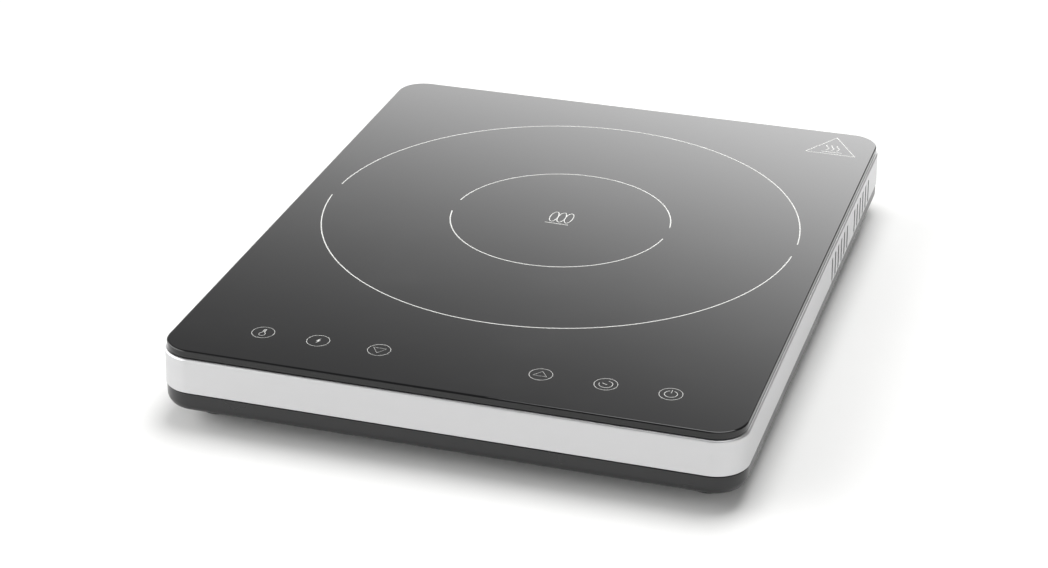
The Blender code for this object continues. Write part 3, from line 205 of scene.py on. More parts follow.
# Stage: directions of the light, the fall-off of the studio's dome in degrees, and the camera
DOME_POLE = (-0.2758, -0.0635, 0.9591)
DOME_EDGE = 22.2
DOME_SOFTNESS = 2.44
BACKDROP = (-0.27, 0.863, 0.427)
BACKDROP_EDGE = {"From Min": 0.83, "From Max": 0.985}
LEFT_BOX = (-0.9557, -0.2946, 0)
RIGHT_BOX = (0.75, -0.66, 0)
BOX_EDGE = {"From Min": 0.5, "From Max": 0.85}
KEY_PLACE = (0.12, 0.17, 1.2)
KEY_SIZE = 0.9
FLOOR_HALF = 6
CAMERA_PLACE = (0.34055, -1.16284, 0.61314)
CAMERA_ANGLES = (63.6348, -0.3151, 17.1339)
CAMERA_LENS = 86.607
CAMERA_SENSOR = 36

# How finely round shapes are cut, and the angle past which an edge is sharp
EDGE_STEPS = 5
STEPS_ROUND = 48
SMOOTH_ANGLE = 32


def linear(code):
    """An sRGB hex colour as linear red, green, blue and alpha."""
    channels = [int(code[start : start + 2], 16) / 255 for start in (0, 2, 4)]
    low = [channel / 12.92 for channel in channels]
    high = [((channel + 0.055) / 1.055) ** 2.4 for channel in channels]
    return (*(b if c > 0.04045 else a for a, b, c in zip(low, high, channels)), 1.0)


def colour(label, code, description):
    setting = {"subtype": "COLOR", "size": 4, "min": 0, "max": 1, "default": linear(code)}
    return FloatVectorProperty(name=label, description=description, **setting)


def length(label, millimetres, description):
    setting = {"default": millimetres * MM, "min": 0, "unit": "LENGTH", "precision": 5}
    return FloatProperty(name=label, description=description, **setting)


def strength(label, value, description):
    return FloatProperty(name=label, description=description, default=value, min=0)


class HobSizes(bpy.types.PropertyGroup):
    zone_outer: length("Outer ring radius", 128.2, "Radius of the large printed ring")
    zone_inner: length("Inner ring radius", 59.2, "Radius of the small printed ring")
    zone_line: length("Ring line", 0.62, "Width of the printed rings' line")
    key_radius: length("Key radius", 5.65, "Radius of the printed circle round each key")
    key_line: length("Key line", 0.23, "Width of the circles round the keys")
    symbol_line: length("Symbol line", 0.28, "Width of the lines in the middle of the keys")
    sign_line: length("Sign line", 0.95, "Width of the hot-surface sign's outline")
    coil_turns: IntProperty(
        name="Coil turns", description="Turns of wire in the coil", default=20, min=4
    )
    fan_blades: IntProperty(
        name="Fan blades", description="Blades on the fan wheel", default=7, min=3
    )


class HobColours(bpy.types.PropertyGroup):
    glass: colour("Glass", "0E0E0F", "Body colour of the glass-ceramic")
    ink: colour("Print", "CCCCC9", "Fired enamel of the printed signs")
    band: colour("Band", "CACACB", "Satin anodised aluminium")
    shell: colour("Shell", "1C1C1D", "Moulded plastic of the bottom shell and the fan's housing")
    rubber: colour("Rubber", "151516", "Feet, seal and cord gland")
    zinc: colour("Zinc", "C3C6CA", "Zinc-plated screws and springs")
    copper: colour("Copper", "C9763F", "Enamelled copper strands")
    board: colour("Board", "17552B", "Solder mask of the boards")


class StageSettings(bpy.types.PropertyGroup):
    floor: colour("Floor", "F1F1F0", "The pale floor")
    dome_low: strength("Dark side", 0.15, "Light from the dark part of the studio")
    dome_high: strength("Bright side", 5.8, "Light from the bright backdrop")
    left: strength("Left side", 3.5, "Light from the left of the studio")
    right: strength("Right side", 0.85, "Light from the right of the studio")
    key: FloatProperty(
        name="Key light", description="Power of the softbox", default=12.0, unit="POWER"
    )


# ---------------- mesh helpers


def arc(centre, radius_x, radius_y, start, end, steps=EDGE_STEPS):
    """Points on an ellipse from one angle to another, in degrees, in plan or in a profile."""
    points = []
    for step in range(steps + 1):
        angle = math.radians(start + (end - start) * step / steps)
        x = centre[0] + radius_x * math.cos(angle)
        points.append((x, centre[1] + radius_y * math.sin(angle)))
    return points


def rounded(centre, radius, start, end, steps=EDGE_STEPS):
    """A round edge in a profile, about a centre at (radius or offset, z)."""
    return arc(centre, radius, radius, start, end, steps)


def at(points, centre=(0, 0)):
    """Points given in millimetres from a centre, in metres."""
    return [(centre[0] + x * MM, centre[1] + y * MM) for x, y in points]


def strung(bm, points, closed):
    """A chain of edges through the points: (verts, edges)."""
    verts = [bm.verts.new(point) for point in points]
    pairs = list(zip(verts, verts[1:]))
    if closed:
        pairs.append((verts[-1], verts[0]))
    return verts, [bm.edges.new(pair) for pair in pairs]


def carry_round(bm, profile, closed):
    """Carries (offset, z) points round the glass's outline: along each side, then a corner."""
    x = HALF_X - CORNER_RADIUS
    y = HALF_Y - CORNER_RADIUS
    edges = strung(bm, [(HALF_X + offset, -y, z) for offset, z in profile], closed)[1]
    runs = ((0, 2 * y), (-2 * x, 0), (0, -2 * y), (2 * x, 0))
    centres = ((x, y), (-x, y), (-x, -y), (x, -y))
    for run, centre in zip(runs, centres):
        made = bmesh.ops.extrude_edge_only(bm, edges=edges)["geom"]
        moved = {item for item in made if isinstance(item, bmesh.types.BMVert)}
        bmesh.ops.translate(bm, vec=(*run, 0), verts=list(moved))
        made = [item for item in made if isinstance(item, bmesh.types.BMEdge)]
        geom = [*moved, *(edge for edge in made if set(edge.verts) <= moved)]
        quarter = {"axis": (0, 0, 1), "angle": math.pi / 2, "steps": CORNER_STEPS}
        last = bmesh.ops.spin(bm, geom=geom, cent=(*centre, 0), **quarter)["geom_last"]
        edges = [item for item in last if isinstance(item, bmesh.types.BMEdge)]
    bmesh.ops.remove_doubles(bm, verts=bm.verts, dist=1e-6)


def close_holes(bm):
    bmesh.ops.holes_fill(bm, edges=[edge for edge in bm.edges if edge.is_boundary], sides=0)


def turn(bm, profile, place=(0, 0, 0), steps=STEPS_ROUND, rotation=None):
    """Spins (radius, z) points about the Z axis. A profile off the axis becomes a ring."""
    before = set(bm.verts)
    chain = [(radius, 0, z) for radius, z in profile]
    verts, edges = strung(bm, chain, closed=profile[0][0] > 0)
    whole = {"cent": (0, 0, 0), "axis": (0, 0, 1), "angle": math.tau, "use_merge": True}
    bmesh.ops.spin(bm, geom=verts + edges, steps=steps, **whole)
    made = [vert for vert in bm.verts if vert not in before]
    bmesh.ops.remove_doubles(bm, verts=made, dist=1e-7)
    made = [vert for vert in bm.verts if vert not in before]
    matrix = Matrix.Translation(place) @ (rotation or Matrix())
    bmesh.ops.transform(bm, matrix=matrix, verts=made)


def peg(bm, radius, low, high, place, steps):
    """A plain round solid between two heights."""
    turn(bm, [(0, low), (radius, low), (radius, high), (0, high)], place, steps)


def bevelled(bm, edges, offset, segments):
    rounding = {"affect": "EDGES", "segments": segments, "profile": 0.5, "material": -1}
    bmesh.ops.bevel(bm, geom=list(edges), offset=offset, **rounding)


def upright(edges):
    """The edges that run along Z."""
    ends = [(edge, edge.verts[0].co - edge.verts[1].co) for edge in edges]
    return [edge for edge, along in ends if abs(along.normalized().z) > 0.9]


def block(bm, size, centre, rotation=None):
    """A box, as the list of its edges."""
    matrix = Matrix.Translation(centre) @ (rotation or Matrix()) @ Matrix.Diagonal((*size, 1))
    verts = bmesh.ops.create_cube(bm, size=1, matrix=matrix)["verts"]
    return list({edge for vert in verts for edge in vert.link_edges})


def placed(name, data):
    """A new object in the scene."""
    made = bpy.data.objects.new(name, data)
    bpy.context.scene.collection.objects.link(made)
    return made


def solid(bm, name):
    """A bmesh as a new object, with outward faces."""
    bmesh.ops.recalc_face_normals(bm, faces=bm.faces)
    mesh = bpy.data.meshes.new(name)
    bm.to_mesh(mesh)
    bm.free()
    return placed(name, mesh)


def combined(bm, other, operation):
    """A new bmesh: bm with the other solid added to it or cut from it."""
    helpers = [solid(bm, "kept"), solid(other, "tool")]
    modifier = helpers[0].modifiers.new("combine", "BOOLEAN")
    modifier.operation = operation
    modifier.object = helpers[1]
    result = bmesh.new()
    result.from_object(helpers[0], bpy.context.evaluated_depsgraph_get())
    for helper in helpers:
        mesh = helper.data
        bpy.data.objects.remove(helper)
        bpy.data.meshes.remove(mesh)
    if not result.faces:
        raise RuntimeError("a Boolean left no faces")
    return result


def piece(bm, name, material, body="hob", replaces=()):
    """Turns a bmesh into a finished piece that rides on its CAD body."""
    made = solid(bm, name)
    made.data.shade_smooth()
    made.data.set_sharp_from_angle(angle=math.radians(SMOOTH_ANGLE))
    made.data.materials.append(material)
    made.modifiers.new("flat faces stay flat", "WEIGHTED_NORMAL").keep_sharp = True
    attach(made, body)
    if replaces:
        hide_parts(*replaces)


def tube(bm, points, radius, squash, closed=False):
    """Adds a round line through (x, y) points. squash is (share of its height, its z)."""
    curve = bpy.data.curves.new("line", "CURVE")
    curve.dimensions = "3D"
    curve.bevel_depth = radius
    curve.bevel_resolution = 2
    curve.use_fill_caps = True
    spline = curve.splines.new("POLY")
    spline.points.add(len(points) - 1)
    for point, where in zip(spline.points, points):
        point.co = (*where, 0, 1)
    spline.use_cyclic_u = closed
    helper = placed("line", curve)
    graph = bpy.context.evaluated_depsgraph_get()
    mesh = bpy.data.meshes.new_from_object(helper.evaluated_get(graph))
    before = set(bm.verts)
    bm.from_mesh(mesh)
    made = [vert for vert in bm.verts if vert not in before]
    bmesh.ops.remove_doubles(bm, verts=made, dist=1e-7)
    made = [vert for vert in bm.verts if vert not in before]
    bmesh.ops.scale(bm, vec=(1, 1, squash[0]), verts=made)
    bmesh.ops.translate(bm, vec=(0, 0, squash[1]), verts=made)
    bpy.data.objects.remove(helper)
    bpy.data.curves.remove(curve)
    bpy.data.meshes.remove(mesh)


def ink_line(bm, points, width, closed=False):
    """A printed line on the glass through (x, y) points: a low ridge of ink."""
    tube(bm, points, width / 2, (2 * INK_HEIGHT / width, GLASS_TOP), closed)


def ink_area(bm, points):
    """A filled printed shape with straight sides."""
    face = bm.faces.new([bm.verts.new((x, y, GLASS_TOP - INK_HEIGHT)) for x, y in points])
    made = bmesh.ops.extrude_face_region(bm, geom=[face], use_keep_orig=True)["geom"]
    moved = [item for item in made if isinstance(item, bmesh.types.BMVert)]
    bmesh.ops.translate(bm, vec=(0, 0, 2 * INK_HEIGHT), verts=moved)


def centre_of(node):
    low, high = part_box(node)
    return (low + high) / 2


def under(node):
    """The place on Z = 0 below a node's middle."""
    return centre_of(node).xy.to_3d()


def numbered(name, count):
    return [f"{name}_{number}" for number in range(1, count + 1)]


# ---------------- materials


def add(tree, kind, values=None, links=None, **settings):
    """Adds a node: settings are its properties, values its constants, links what feeds it."""
    made = tree.nodes.new(kind)
    for key, value in settings.items():
        setattr(made, key, value)
    for key, value in (values or {}).items():
        made.inputs[key].default_value = value
    for key, output in (links or {}).items():
        tree.links.new(output, made.inputs[key])
    return made


def material(name, rgba, roughness, metallic=0.0, **sockets):
    """A material with one Principled shader: (material, its nodes, object coordinates)."""
    made = bpy.data.materials.new(name)
    made.use_nodes = True
    tree = made.node_tree
    values = {"Base_Color": tuple(rgba), "Roughness": roughness, "Metallic": metallic, **sockets}
    for key, value in values.items():
        tree.nodes["Principled BSDF"].inputs[key.replace("_", " ")].default_value = value
    return made, tree, add(tree, "ShaderNodeTexCoord").outputs["Object"]


def patterned(made, tone, gloss=None, relief=None):
    """Lets patterns drive a material, each given first in its tuple. tone goes on with its darker
    and lighter shade, gloss with the pattern's and the roughness's limits, relief with its
    strength and its depth in millimetres."""
    tree = made.node_tree
    shader = tree.nodes["Principled BSDF"].inputs
    rgba = shader["Base Color"].default_value[:3]
    factor, low, high = tone
    dark = (*(channel * low for channel in rgba), 1.0)
    light = (*(min(channel * high, 1.0) for channel in rgba), 1.0)
    ends = {"A": dark, "B": light}
    mix = add(tree, "ShaderNodeMix", ends, {"Factor": factor}, data_type="RGBA")
    tree.links.new(mix.outputs["Result"], shader["Base Color"])
    if gloss:
        limits = dict(zip(("From Min", "From Max", "To Min", "To Max"), gloss[1:]))
        spread = add(tree, "ShaderNodeMapRange", limits, {"Value": gloss[0]})
        tree.links.new(spread.outputs["Result"], shader["Roughness"])
    if relief:
        depth = {"Strength": relief[1], "Distance": relief[2] * MM}
        bump = add(tree, "ShaderNodeBump", depth, {"Height": relief[0]})
        tree.links.new(bump.outputs["Normal"], shader["Normal"])
    return made


def grained(name, rgba, roughness, grain_mm, depth_mm, mottle=0.12):
    """A moulded, cast or pressed surface: fine grain in relief, and slow drifts in its look."""
    made, tree, place = material(name, rgba, roughness)
    fine = {"Scale": 1 / (grain_mm * MM), "Detail": 2.0, "Roughness": 0.6}
    grain = add(tree, "ShaderNodeTexNoise", fine, {"Vector": place}).outputs["Fac"]
    slow = {"Scale": 1 / (28 * MM), "Detail": 3.0}
    drift = add(tree, "ShaderNodeTexNoise", slow, {"Vector": place}).outputs["Fac"]
    gloss = (drift, 0.3, 0.7, roughness - 0.05, min(roughness + 0.07, 1.0))
    return patterned(made, (drift, 1 - mottle, 1 + mottle), gloss, (grain, 0.5, depth_mm))


def black_glass_ceramic():
    # Lithium-aluminosilicate glass-ceramic, rolled and polished: near-mirror gloss that shows
    # wipe marks about 45 mm across and the faint waves that the rolls leave
    rgba = bpy.context.scene.hob_colours.glass
    made, tree, place = material("Black glass-ceramic", rgba, 0.03, IOR=1.52)
    broad = {"Scale": 1 / (45 * MM), "Detail": 5.0}
    wipes = add(tree, "ShaderNodeTexNoise", broad, {"Vector": place}).outputs["Fac"]
    waves = {"Scale": 1 / (18 * MM), "Detail": 1.0}
    roll = add(tree, "ShaderNodeTexNoise", waves, {"Vector": place}).outputs["Fac"]
    gloss = (wipes, 0.42, 0.72, 0.02, 0.075)
    return patterned(made, (wipes, 0.85, 1.2), gloss, (roll, 0.06, 0.02))


def fired_enamel():
    # Ceramic ink screen-printed and fired on the glass: pale, half matt, its cover a little
    # uneven. The screen's 0.1 mm mesh is drawn at 0.35 mm so that it shows
    rgba = bpy.context.scene.hob_colours.ink
    return grained("Fired enamel print", rgba, 0.45, 0.35, 0.004, mottle=0.05)


def satin_aluminium():
    # Extruded aluminium, fine-brushed and anodised: soft streaks that run level round the hob.
    # The brush's 0.1 mm lines are drawn at 0.45 mm so that they show
    rgba = bpy.context.scene.hob_colours.band
    made, tree, place = material("Satin anodised aluminium", rgba, 0.38, metallic=1.0)
    along = 1 / (70 * MM)
    across = 1 / (0.45 * MM)
    scale = {"Scale": (along, along, across)}
    stretch = add(tree, "ShaderNodeMapping", scale, {"Vector": place}).outputs["Vector"]
    lines = {"Scale": 1.0, "Detail": 4.0}
    brushing = add(tree, "ShaderNodeTexNoise", lines, {"Vector": stretch}).outputs["Fac"]
    gloss = (brushing, 0.3, 0.7, 0.35, 0.41)
    return patterned(made, (brushing, 0.985, 1.015), gloss, (brushing, 0.03, 0.02))


def shell_plastic():
    # ABS moulded in a spark-eroded tool: an even grain and a half-matt black. The tool's
    # 0.1 mm grain is drawn at 1 mm so that it shows
    rgba = bpy.context.scene.hob_colours.shell
    return grained("Spark-grained black ABS", rgba, 0.3, 1.0, 0.03, mottle=0.025)


def black_rubber():
    # Moulded EPDM rubber: matt black with a faint bloom, its skin drawn coarser, at 0.8 mm
    rgba = bpy.context.scene.hob_colours.rubber
    return grained("Black EPDM rubber", rgba, 0.72, 0.8, 0.04, mottle=0.2)


def zinc_steel():
    # Zinc-plated steel: bright grey metal with a faint spangle of 0.7 mm crystals
    rgba = bpy.context.scene.hob_colours.zinc
    made, tree, place = material("Zinc-plated steel", rgba, 0.3, metallic=1.0)
    size = {"Scale": 1 / (0.7 * MM)}
    crystals = add(tree, "ShaderNodeTexVoronoi", size, {"Vector": place}).outputs
    gloss = (crystals["Distance"], 0.0, 0.8, 0.24, 0.42)
    return patterned(made, (crystals["Color"], 0.86, 1.06), gloss)


def litz_copper():
    # Stranded enamelled copper: twisted strands whose base colour runs from brown in the grooves between them to
    # orange on their crowns, a painted shade and a painted sheen laid over the bump that gives them relief. A
    # whole number of strands goes round the coil's axis, one about every 2 mm, each leaning as it rises
    rgba = bpy.context.scene.hob_colours.copper
    made, tree, place = material("Enamelled litz copper", rgba, 0.32, metallic=0.85)
    round_axis = {1: 170.0}
    lean = {1: 2.4 / MM}
    split = add(tree, "ShaderNodeSeparateXYZ", links={"Vector": place}).outputs
    middle = {1: -COIL_CENTRE[1]}
    shifted = add(tree, "ShaderNodeMath", middle, {0: split["Y"]}, operation="ADD")
    links = {0: shifted.outputs[0], 1: split["X"]}
    angle = add(tree, "ShaderNodeMath", links=links, operation="ARCTAN2").outputs[0]
    lay = add(tree, "ShaderNodeMath", round_axis, {0: angle}, operation="MULTIPLY")
    rise = add(tree, "ShaderNodeMath", lean, {0: split["Z"]}, operation="MULTIPLY")
    links = {0: lay.outputs[0], 1: rise.outputs[0]}
    twist = add(tree, "ShaderNodeMath", links=links, operation="ADD").outputs[0]
    strands = add(tree, "ShaderNodeMath", links={0: twist}, operation="SINE").outputs[0]
    share = add(tree, "ShaderNodeMapRange", {"From Min": -1.0}, {"Value": strands})
    share = share.outputs["Result"]
    # The strands' tone is painted shade in the grooves and painted sheen on the crowns; the bump is their relief
    return patterned(made, (share, 0.45, 1.1), relief=(share, 0.6, 0.12))


def pressed_mica():
    # Phlogopite mica paper pressed with silicone resin: pale 3.5 mm flakes with a dull shine
    made, tree, place = material("Pressed mica paper", linear("B5A27C"), 0.42)
    size = {"Scale": 1 / (3.5 * MM)}
    flakes = add(tree, "ShaderNodeTexVoronoi", size, {"Vector": place}, distance="MANHATTAN")
    gloss = (flakes.outputs["Distance"], 0.0, 1.0, 0.28, 0.6)
    return patterned(made, (flakes.outputs["Color"], 0.7, 1.15), gloss)


def board_laminate():
    # FR4 with green solder mask: copper tracks show through as lighter lines with right-angled
    # turns, about 3 mm apart round cells of 7 mm
    rgba = bpy.context.scene.hob_colours.board
    made, tree, place = material("Solder-masked FR4", rgba, 0.32)
    size = {"Scale": 1 / (7 * MM)}
    cells = add(tree, "ShaderNodeTexVoronoi", size, {"Vector": place}, distance="CHEBYCHEV")
    links = {0: cells.outputs["Distance"]}
    tracks = add(tree, "ShaderNodeMath", {1: 14.0}, links, operation="MULTIPLY")
    lines = add(tree, "ShaderNodeMath", links={0: tracks.outputs[0]}, operation="SINE")
    edge = {"From Min": 0.1, "From Max": 0.3}
    share = add(tree, "ShaderNodeMapRange", edge, {"Value": lines.outputs[0]}).outputs["Result"]
    return patterned(made, (share, 0.8, 1.6), relief=(share, 0.4, 0.05))


def drawn_aluminium():
    # Extruded aluminium left as it came from the die: its lines along X are drawn at 0.6 mm so
    # that they show
    made, tree, place = material("Extruded aluminium", linear("C2C4C6"), 0.36, metallic=1.0)
    across = 1 / (0.6 * MM)
    scale = {"Scale": (1 / (60 * MM), across, across)}
    stretch = add(tree, "ShaderNodeMapping", scale, {"Vector": place}).outputs["Vector"]
    drawn = {"Scale": 1.0, "Detail": 3.0}
    lines = add(tree, "ShaderNodeTexNoise", drawn, {"Vector": stretch}).outputs["Fac"]
    return patterned(made, (lines, 0.85, 1.05), relief=(lines, 0.2, 0.05))


def wound_tape():
    # Amber polyimide tape wound over a transformer: level 7 mm laps with a hard shine
    rgba = linear("C08A2A")
    made, tree, place = material("Amber polyimide tape", rgba, 0.25, Coat_Weight=0.4)
    lap = {"Scale": 1 / (22 * MM), "Distortion": 0.4}
    laps = add(tree, "ShaderNodeTexWave", lap, {"Vector": place}, bands_direction="Z")
    return patterned(made, (laps.outputs["Fac"], 0.75, 1.1))


def ribbon_sheath():
    # Grey PVC ribbon cable: side-by-side insulated wires, drawn 2.5 mm apart and not 1.27 mm so
    # that the grooves between them show. The base colour is darker in the grooves, a painted shade, laid over the
    # bump that gives them relief
    made, tree, place = material("Grey PVC ribbon", linear("A9AAAD"), 0.48)
    pitch = {"Scale": 1 / (8 * MM)}
    wires = add(tree, "ShaderNodeTexWave", pitch, {"Vector": place}, bands_direction="X")
    wires = wires.outputs["Fac"]
    # The darker tone in the grooves is painted shade; the bump is the grooves' relief
    return patterned(made, (wires, 0.65, 1.1), relief=(wires, 0.7, 0.3))


def fuse_tube():
    # Glass tube with nickel-plated caps: 5 mm at each end is metal, the middle a greyer glass
    made, tree, place = material("Fuse glass and nickel caps", linear("C9CDD0"), 0.12)
    low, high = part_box("fuse")
    split = add(tree, "ShaderNodeSeparateXYZ", links={"Vector": place})
    middle = {1: -(low.x + high.x) / 2}
    centred = add(tree, "ShaderNodeMath", middle, {0: split.outputs["X"]}, operation="ADD")
    away = add(tree, "ShaderNodeMath", links={0: centred.outputs[0]}, operation="ABSOLUTE")
    edge = {1: (high.x - low.x) / 2 - 5 * MM}
    cap = add(tree, "ShaderNodeMath", edge, {0: away.outputs[0]}, operation="GREATER_THAN")
    tree.links.new(cap.outputs[0], tree.nodes["Principled BSDF"].inputs["Metallic"])
    return patterned(made, (cap.outputs[0], 0.5, 0.9))


def plain_parts():
    """Materials of the inner parts whose look is a skin of one colour: moulded, dipped or cast."""
    return {
        # Injection moulded, glass fibre near the skin: dull, faintly cloudy grey
        "nylon": grained("Glass-filled grey nylon", linear("8C8D90"), 0.55, 0.7, 0.05, 0.08),
        # Pressed and sintered powder: near black and matt like slate
        "ferrite": grained("Sintered ferrite", linear("3A3A3D"), 0.6, 0.4, 0.04, 0.15),
        # Transfer-moulded package: black with a half-matt grain
        "epoxy": grained("Moulded black epoxy", linear("222224"), 0.38, 0.5, 0.02),
        # Moulded film-capacitor box: smooth, glossy yellow
        "film": grained("Yellow polyester capacitor case", linear("D9A12B"), 0.3, 0.8, 0.02, 0.05),
        # Moulded terminal housing: green with a soft shine
        "terminal": grained("Green moulded polyamide", linear("2E7A45"), 0.45, 0.8, 0.04, 0.06),
        # Powder coat over an iron-powder ring: uneven green
        "core": grained("Green-coated choke core", linear("2F6A55"), 0.5, 0.6, 0.05, 0.15),
        # Dipped coating: glossy blue with slow 2 mm waves
        "dipped": grained("Blue dipped epoxy", linear("28538F"), 0.28, 2.0, 0.05, 0.08),
        # Cast rubber: soft, chalky white
        "silicone": grained("White silicone rubber", linear("DEDEDA"), 0.5, 0.9, 0.03, 0.04),
        # Sleeve shrunk over a can: tight, glossy, blue-black
        "sleeve": grained("Heat-shrunk PVC sleeve", linear("23242E"), 0.26, 1.5, 0.02),
        # Polished acrylic: dark and nearly clear of marks
        "display": grained("Smoked display lens", linear("1B1314"), 0.16, 3.0, 0.004),
    }


# ---------------- pieces


def glass_top():
    edge = (-GLASS_EDGE, GLASS_TOP - GLASS_EDGE)
    profile = [(-GLASS_CHAMFER, GLASS_LOW.z), (0, GLASS_LOW.z + GLASS_CHAMFER)]
    bm = bmesh.new()
    carry_round(bm, profile + rounded(edge, GLASS_EDGE, 0, 90), closed=False)
    close_holes(bm)
    finish = black_glass_ceramic()
    piece(bm, "glass_top", finish, replaces=["glass_plate"])


def zone_rings(ink):
    """Two printed rings, each open at the left and the right."""
    sizes = bpy.context.scene.hob_sizes
    bm = bmesh.new()
    for radius in (sizes.zone_outer, sizes.zone_inner):
        low, high = (math.degrees(math.asin(gap / radius)) for gap in RING_GAP)
        for start, end in ((high, 180 - high), (180 - low, 360 + low)):
            points = arc(COIL_CENTRE, radius, radius, start, end, RING_STEPS)
            ink_line(bm, points, sizes.zone_line)
    piece(bm, "zone_rings", ink)


def zone_symbol(ink):
    """Three loops on a base line, the sign for an induction coil."""
    bm = bmesh.new()
    for centre in at(LOOP_CENTRES):
        ink_line(bm, arc(centre, *LOOP_SIZE, 0, 345, 36), LOOP_LINE, closed=True)
    ink_line(bm, at(LOOP_BASE), LOOP_LINE)
    piece(bm, "zone_symbol", ink)


def keys(ink):
    """Six touch keys: heat, boost, down, up, timer and power, each in a printed circle."""
    sizes = bpy.context.scene.hob_sizes
    radius = sizes.key_radius
    line = sizes.symbol_line
    rings = bmesh.new()
    signs = bmesh.new()
    places = at(KEY_CENTRES)
    for centre in places:
        ink_line(rings, arc(centre, radius, radius, 0, 355, 71), sizes.key_line, closed=True)
    heat, boost, down, up, timer, power = places
    ink_line(signs, at(THERMOMETER, heat), line, closed=True)
    ink_line(signs, at(MERCURY, heat), line)
    ink_area(signs, at(BOLT, boost))
    ink_line(signs, at(DOWN, down), line, closed=True)
    ink_line(signs, at(UP, up), line, closed=True)
    ink_line(signs, arc(timer, CLOCK_RADIUS, CLOCK_RADIUS, -190, 80, 40), line)
    ink_line(signs, at(CLOCK_HANDS, timer), 1.4 * line)
    ink_line(signs, arc(power, POWER_RADIUS, POWER_RADIUS, 110, 430, 44), line)
    ink_line(signs, at(POWER_BAR, power), line)
    piece(rings, "key_rings", ink)
    piece(signs, "key_signs", ink)


def hot_sign(ink):
    """A plain triangle with three heat waves, the general sign for a hot surface."""
    line = bpy.context.scene.hob_sizes.sign_line
    bm = bmesh.new()
    ink_line(bm, at(SIGN_CORNERS), line, closed=True)
    ink_line(bm, at(SIGN_BAR), THIN_SHARE * line)
    for foot in at(WAVE_FEET):
        ink_line(bm, at(WAVE, foot), THIN_SHARE * line)
    piece(bm, "hot_surface_sign", ink)


def vent_slots():
    """Two groups of slots in each side of the band, for cutting."""
    slots = bmesh.new()
    middle = (BAND_LOW.z + LEDGE_BOTTOM) / 2
    size = (VENT_CUT, VENT_WIDTH, LEDGE_BOTTOM - BAND_LOW.z - 2 * VENT_MARGIN)
    for side in (-1, 1):
        for group in range(2):
            for number in range(VENT_COUNT):
                inset = VENT_REAR_INSET + group * VENT_GROUP_STEP + number * VENT_PITCH
                edges = block(slots, size, (side * HALF_X, HALF_Y - inset, middle))
                bevelled(slots, edges, VENT_EDGE, segments=2)
    return slots


def silver_band():
    foot = BAND_HIGH.x - HALF_X
    rim_z = BAND_HIGH.z - BAND_RIM
    lean = (foot - BAND_TOP_OFFSET) * BAND_RIM / (BAND_HIGH.z - BAND_LOW.z)
    ledge = BAND_INNER_OFFSET - LEDGE_WIDTH
    profile = [
        (BAND_INNER_OFFSET, BAND_LOW.z),
        (foot - BAND_FOOT_EDGE, BAND_LOW.z),
        (foot, BAND_LOW.z + BAND_FOOT_EDGE),
        (BAND_TOP_OFFSET + lean, rim_z),
        *rounded((BAND_TOP_OFFSET - BAND_RIM, rim_z), BAND_RIM, 15, 90),
        (BAND_INNER_OFFSET, BAND_HIGH.z),
        (BAND_INNER_OFFSET, LEDGE_TOP),
        (ledge, LEDGE_TOP),
        (ledge, LEDGE_BOTTOM),
        (BAND_INNER_OFFSET, LEDGE_BOTTOM),
    ]
    bm = bmesh.new()
    carry_round(bm, profile, closed=True)
    bm = combined(bm, vent_slots(), "DIFFERENCE")
    posts = bmesh.new()
    ring = [(SCREW_BORE, POST_BOTTOM), (POST_RADIUS, POST_BOTTOM)]
    ring += [(POST_RADIUS, POST_TOP), (SCREW_BORE, POST_TOP)]
    for name in numbered("case_screw", CASE_SCREWS):
        turn(posts, ring, under(name), steps=24)
    bm = combined(bm, posts, "UNION")
    finish = satin_aluminium()
    piece(bm, "silver_band", finish, replaces=["trim_band"])


def bottom_shell():
    inner = BASE_OFFSET - BASE_WALL
    lip_outer = BAND_INNER_OFFSET - LIP_GAP
    lip_inner = lip_outer - LIP_WALL
    low = BASE_LOW.z
    edge = BASE_EDGE_RADIUS
    lip = BASE_LIP_EDGE
    inner_edge = (inner - edge + BASE_WALL, low + edge)
    profile = [
        *rounded((BASE_OFFSET - edge, low + edge), edge, 270, 360, 10),
        *rounded((BASE_OFFSET - lip, BASE_TOP - lip), lip, 0, 90, 3),
        (lip_outer, BASE_TOP),
        (lip_outer, BASE_HIGH.z),
        (lip_inner, BASE_HIGH.z),
        (lip_inner, LIP_ROOT),
        (inner, LIP_ROOT - (inner - lip_inner)),
        *rounded(inner_edge, edge - BASE_WALL, 360, 270),
    ]
    bm = bmesh.new()
    carry_round(bm, profile, closed=False)
    close_holes(bm)
    root = low + BASE_WALL / 2
    bosses = bmesh.new()
    for name in numbered("case_screw", CASE_SCREWS):
        peg(bosses, CASE_BOSS, root, BOSS_TOP, under(name), steps=32)
    for name in numbered("coil_screw", COIL_SCREWS):
        peg(bosses, COIL_BOSS, root, BOSS_TOP, under(name), steps=24)
    bm = combined(bm, bosses, "UNION")
    bm = combined(bm, shell_holes(), "DIFFERENCE")
    finish = shell_plastic()
    piece(bm, "bottom_shell", finish, replaces=["base_pan"])


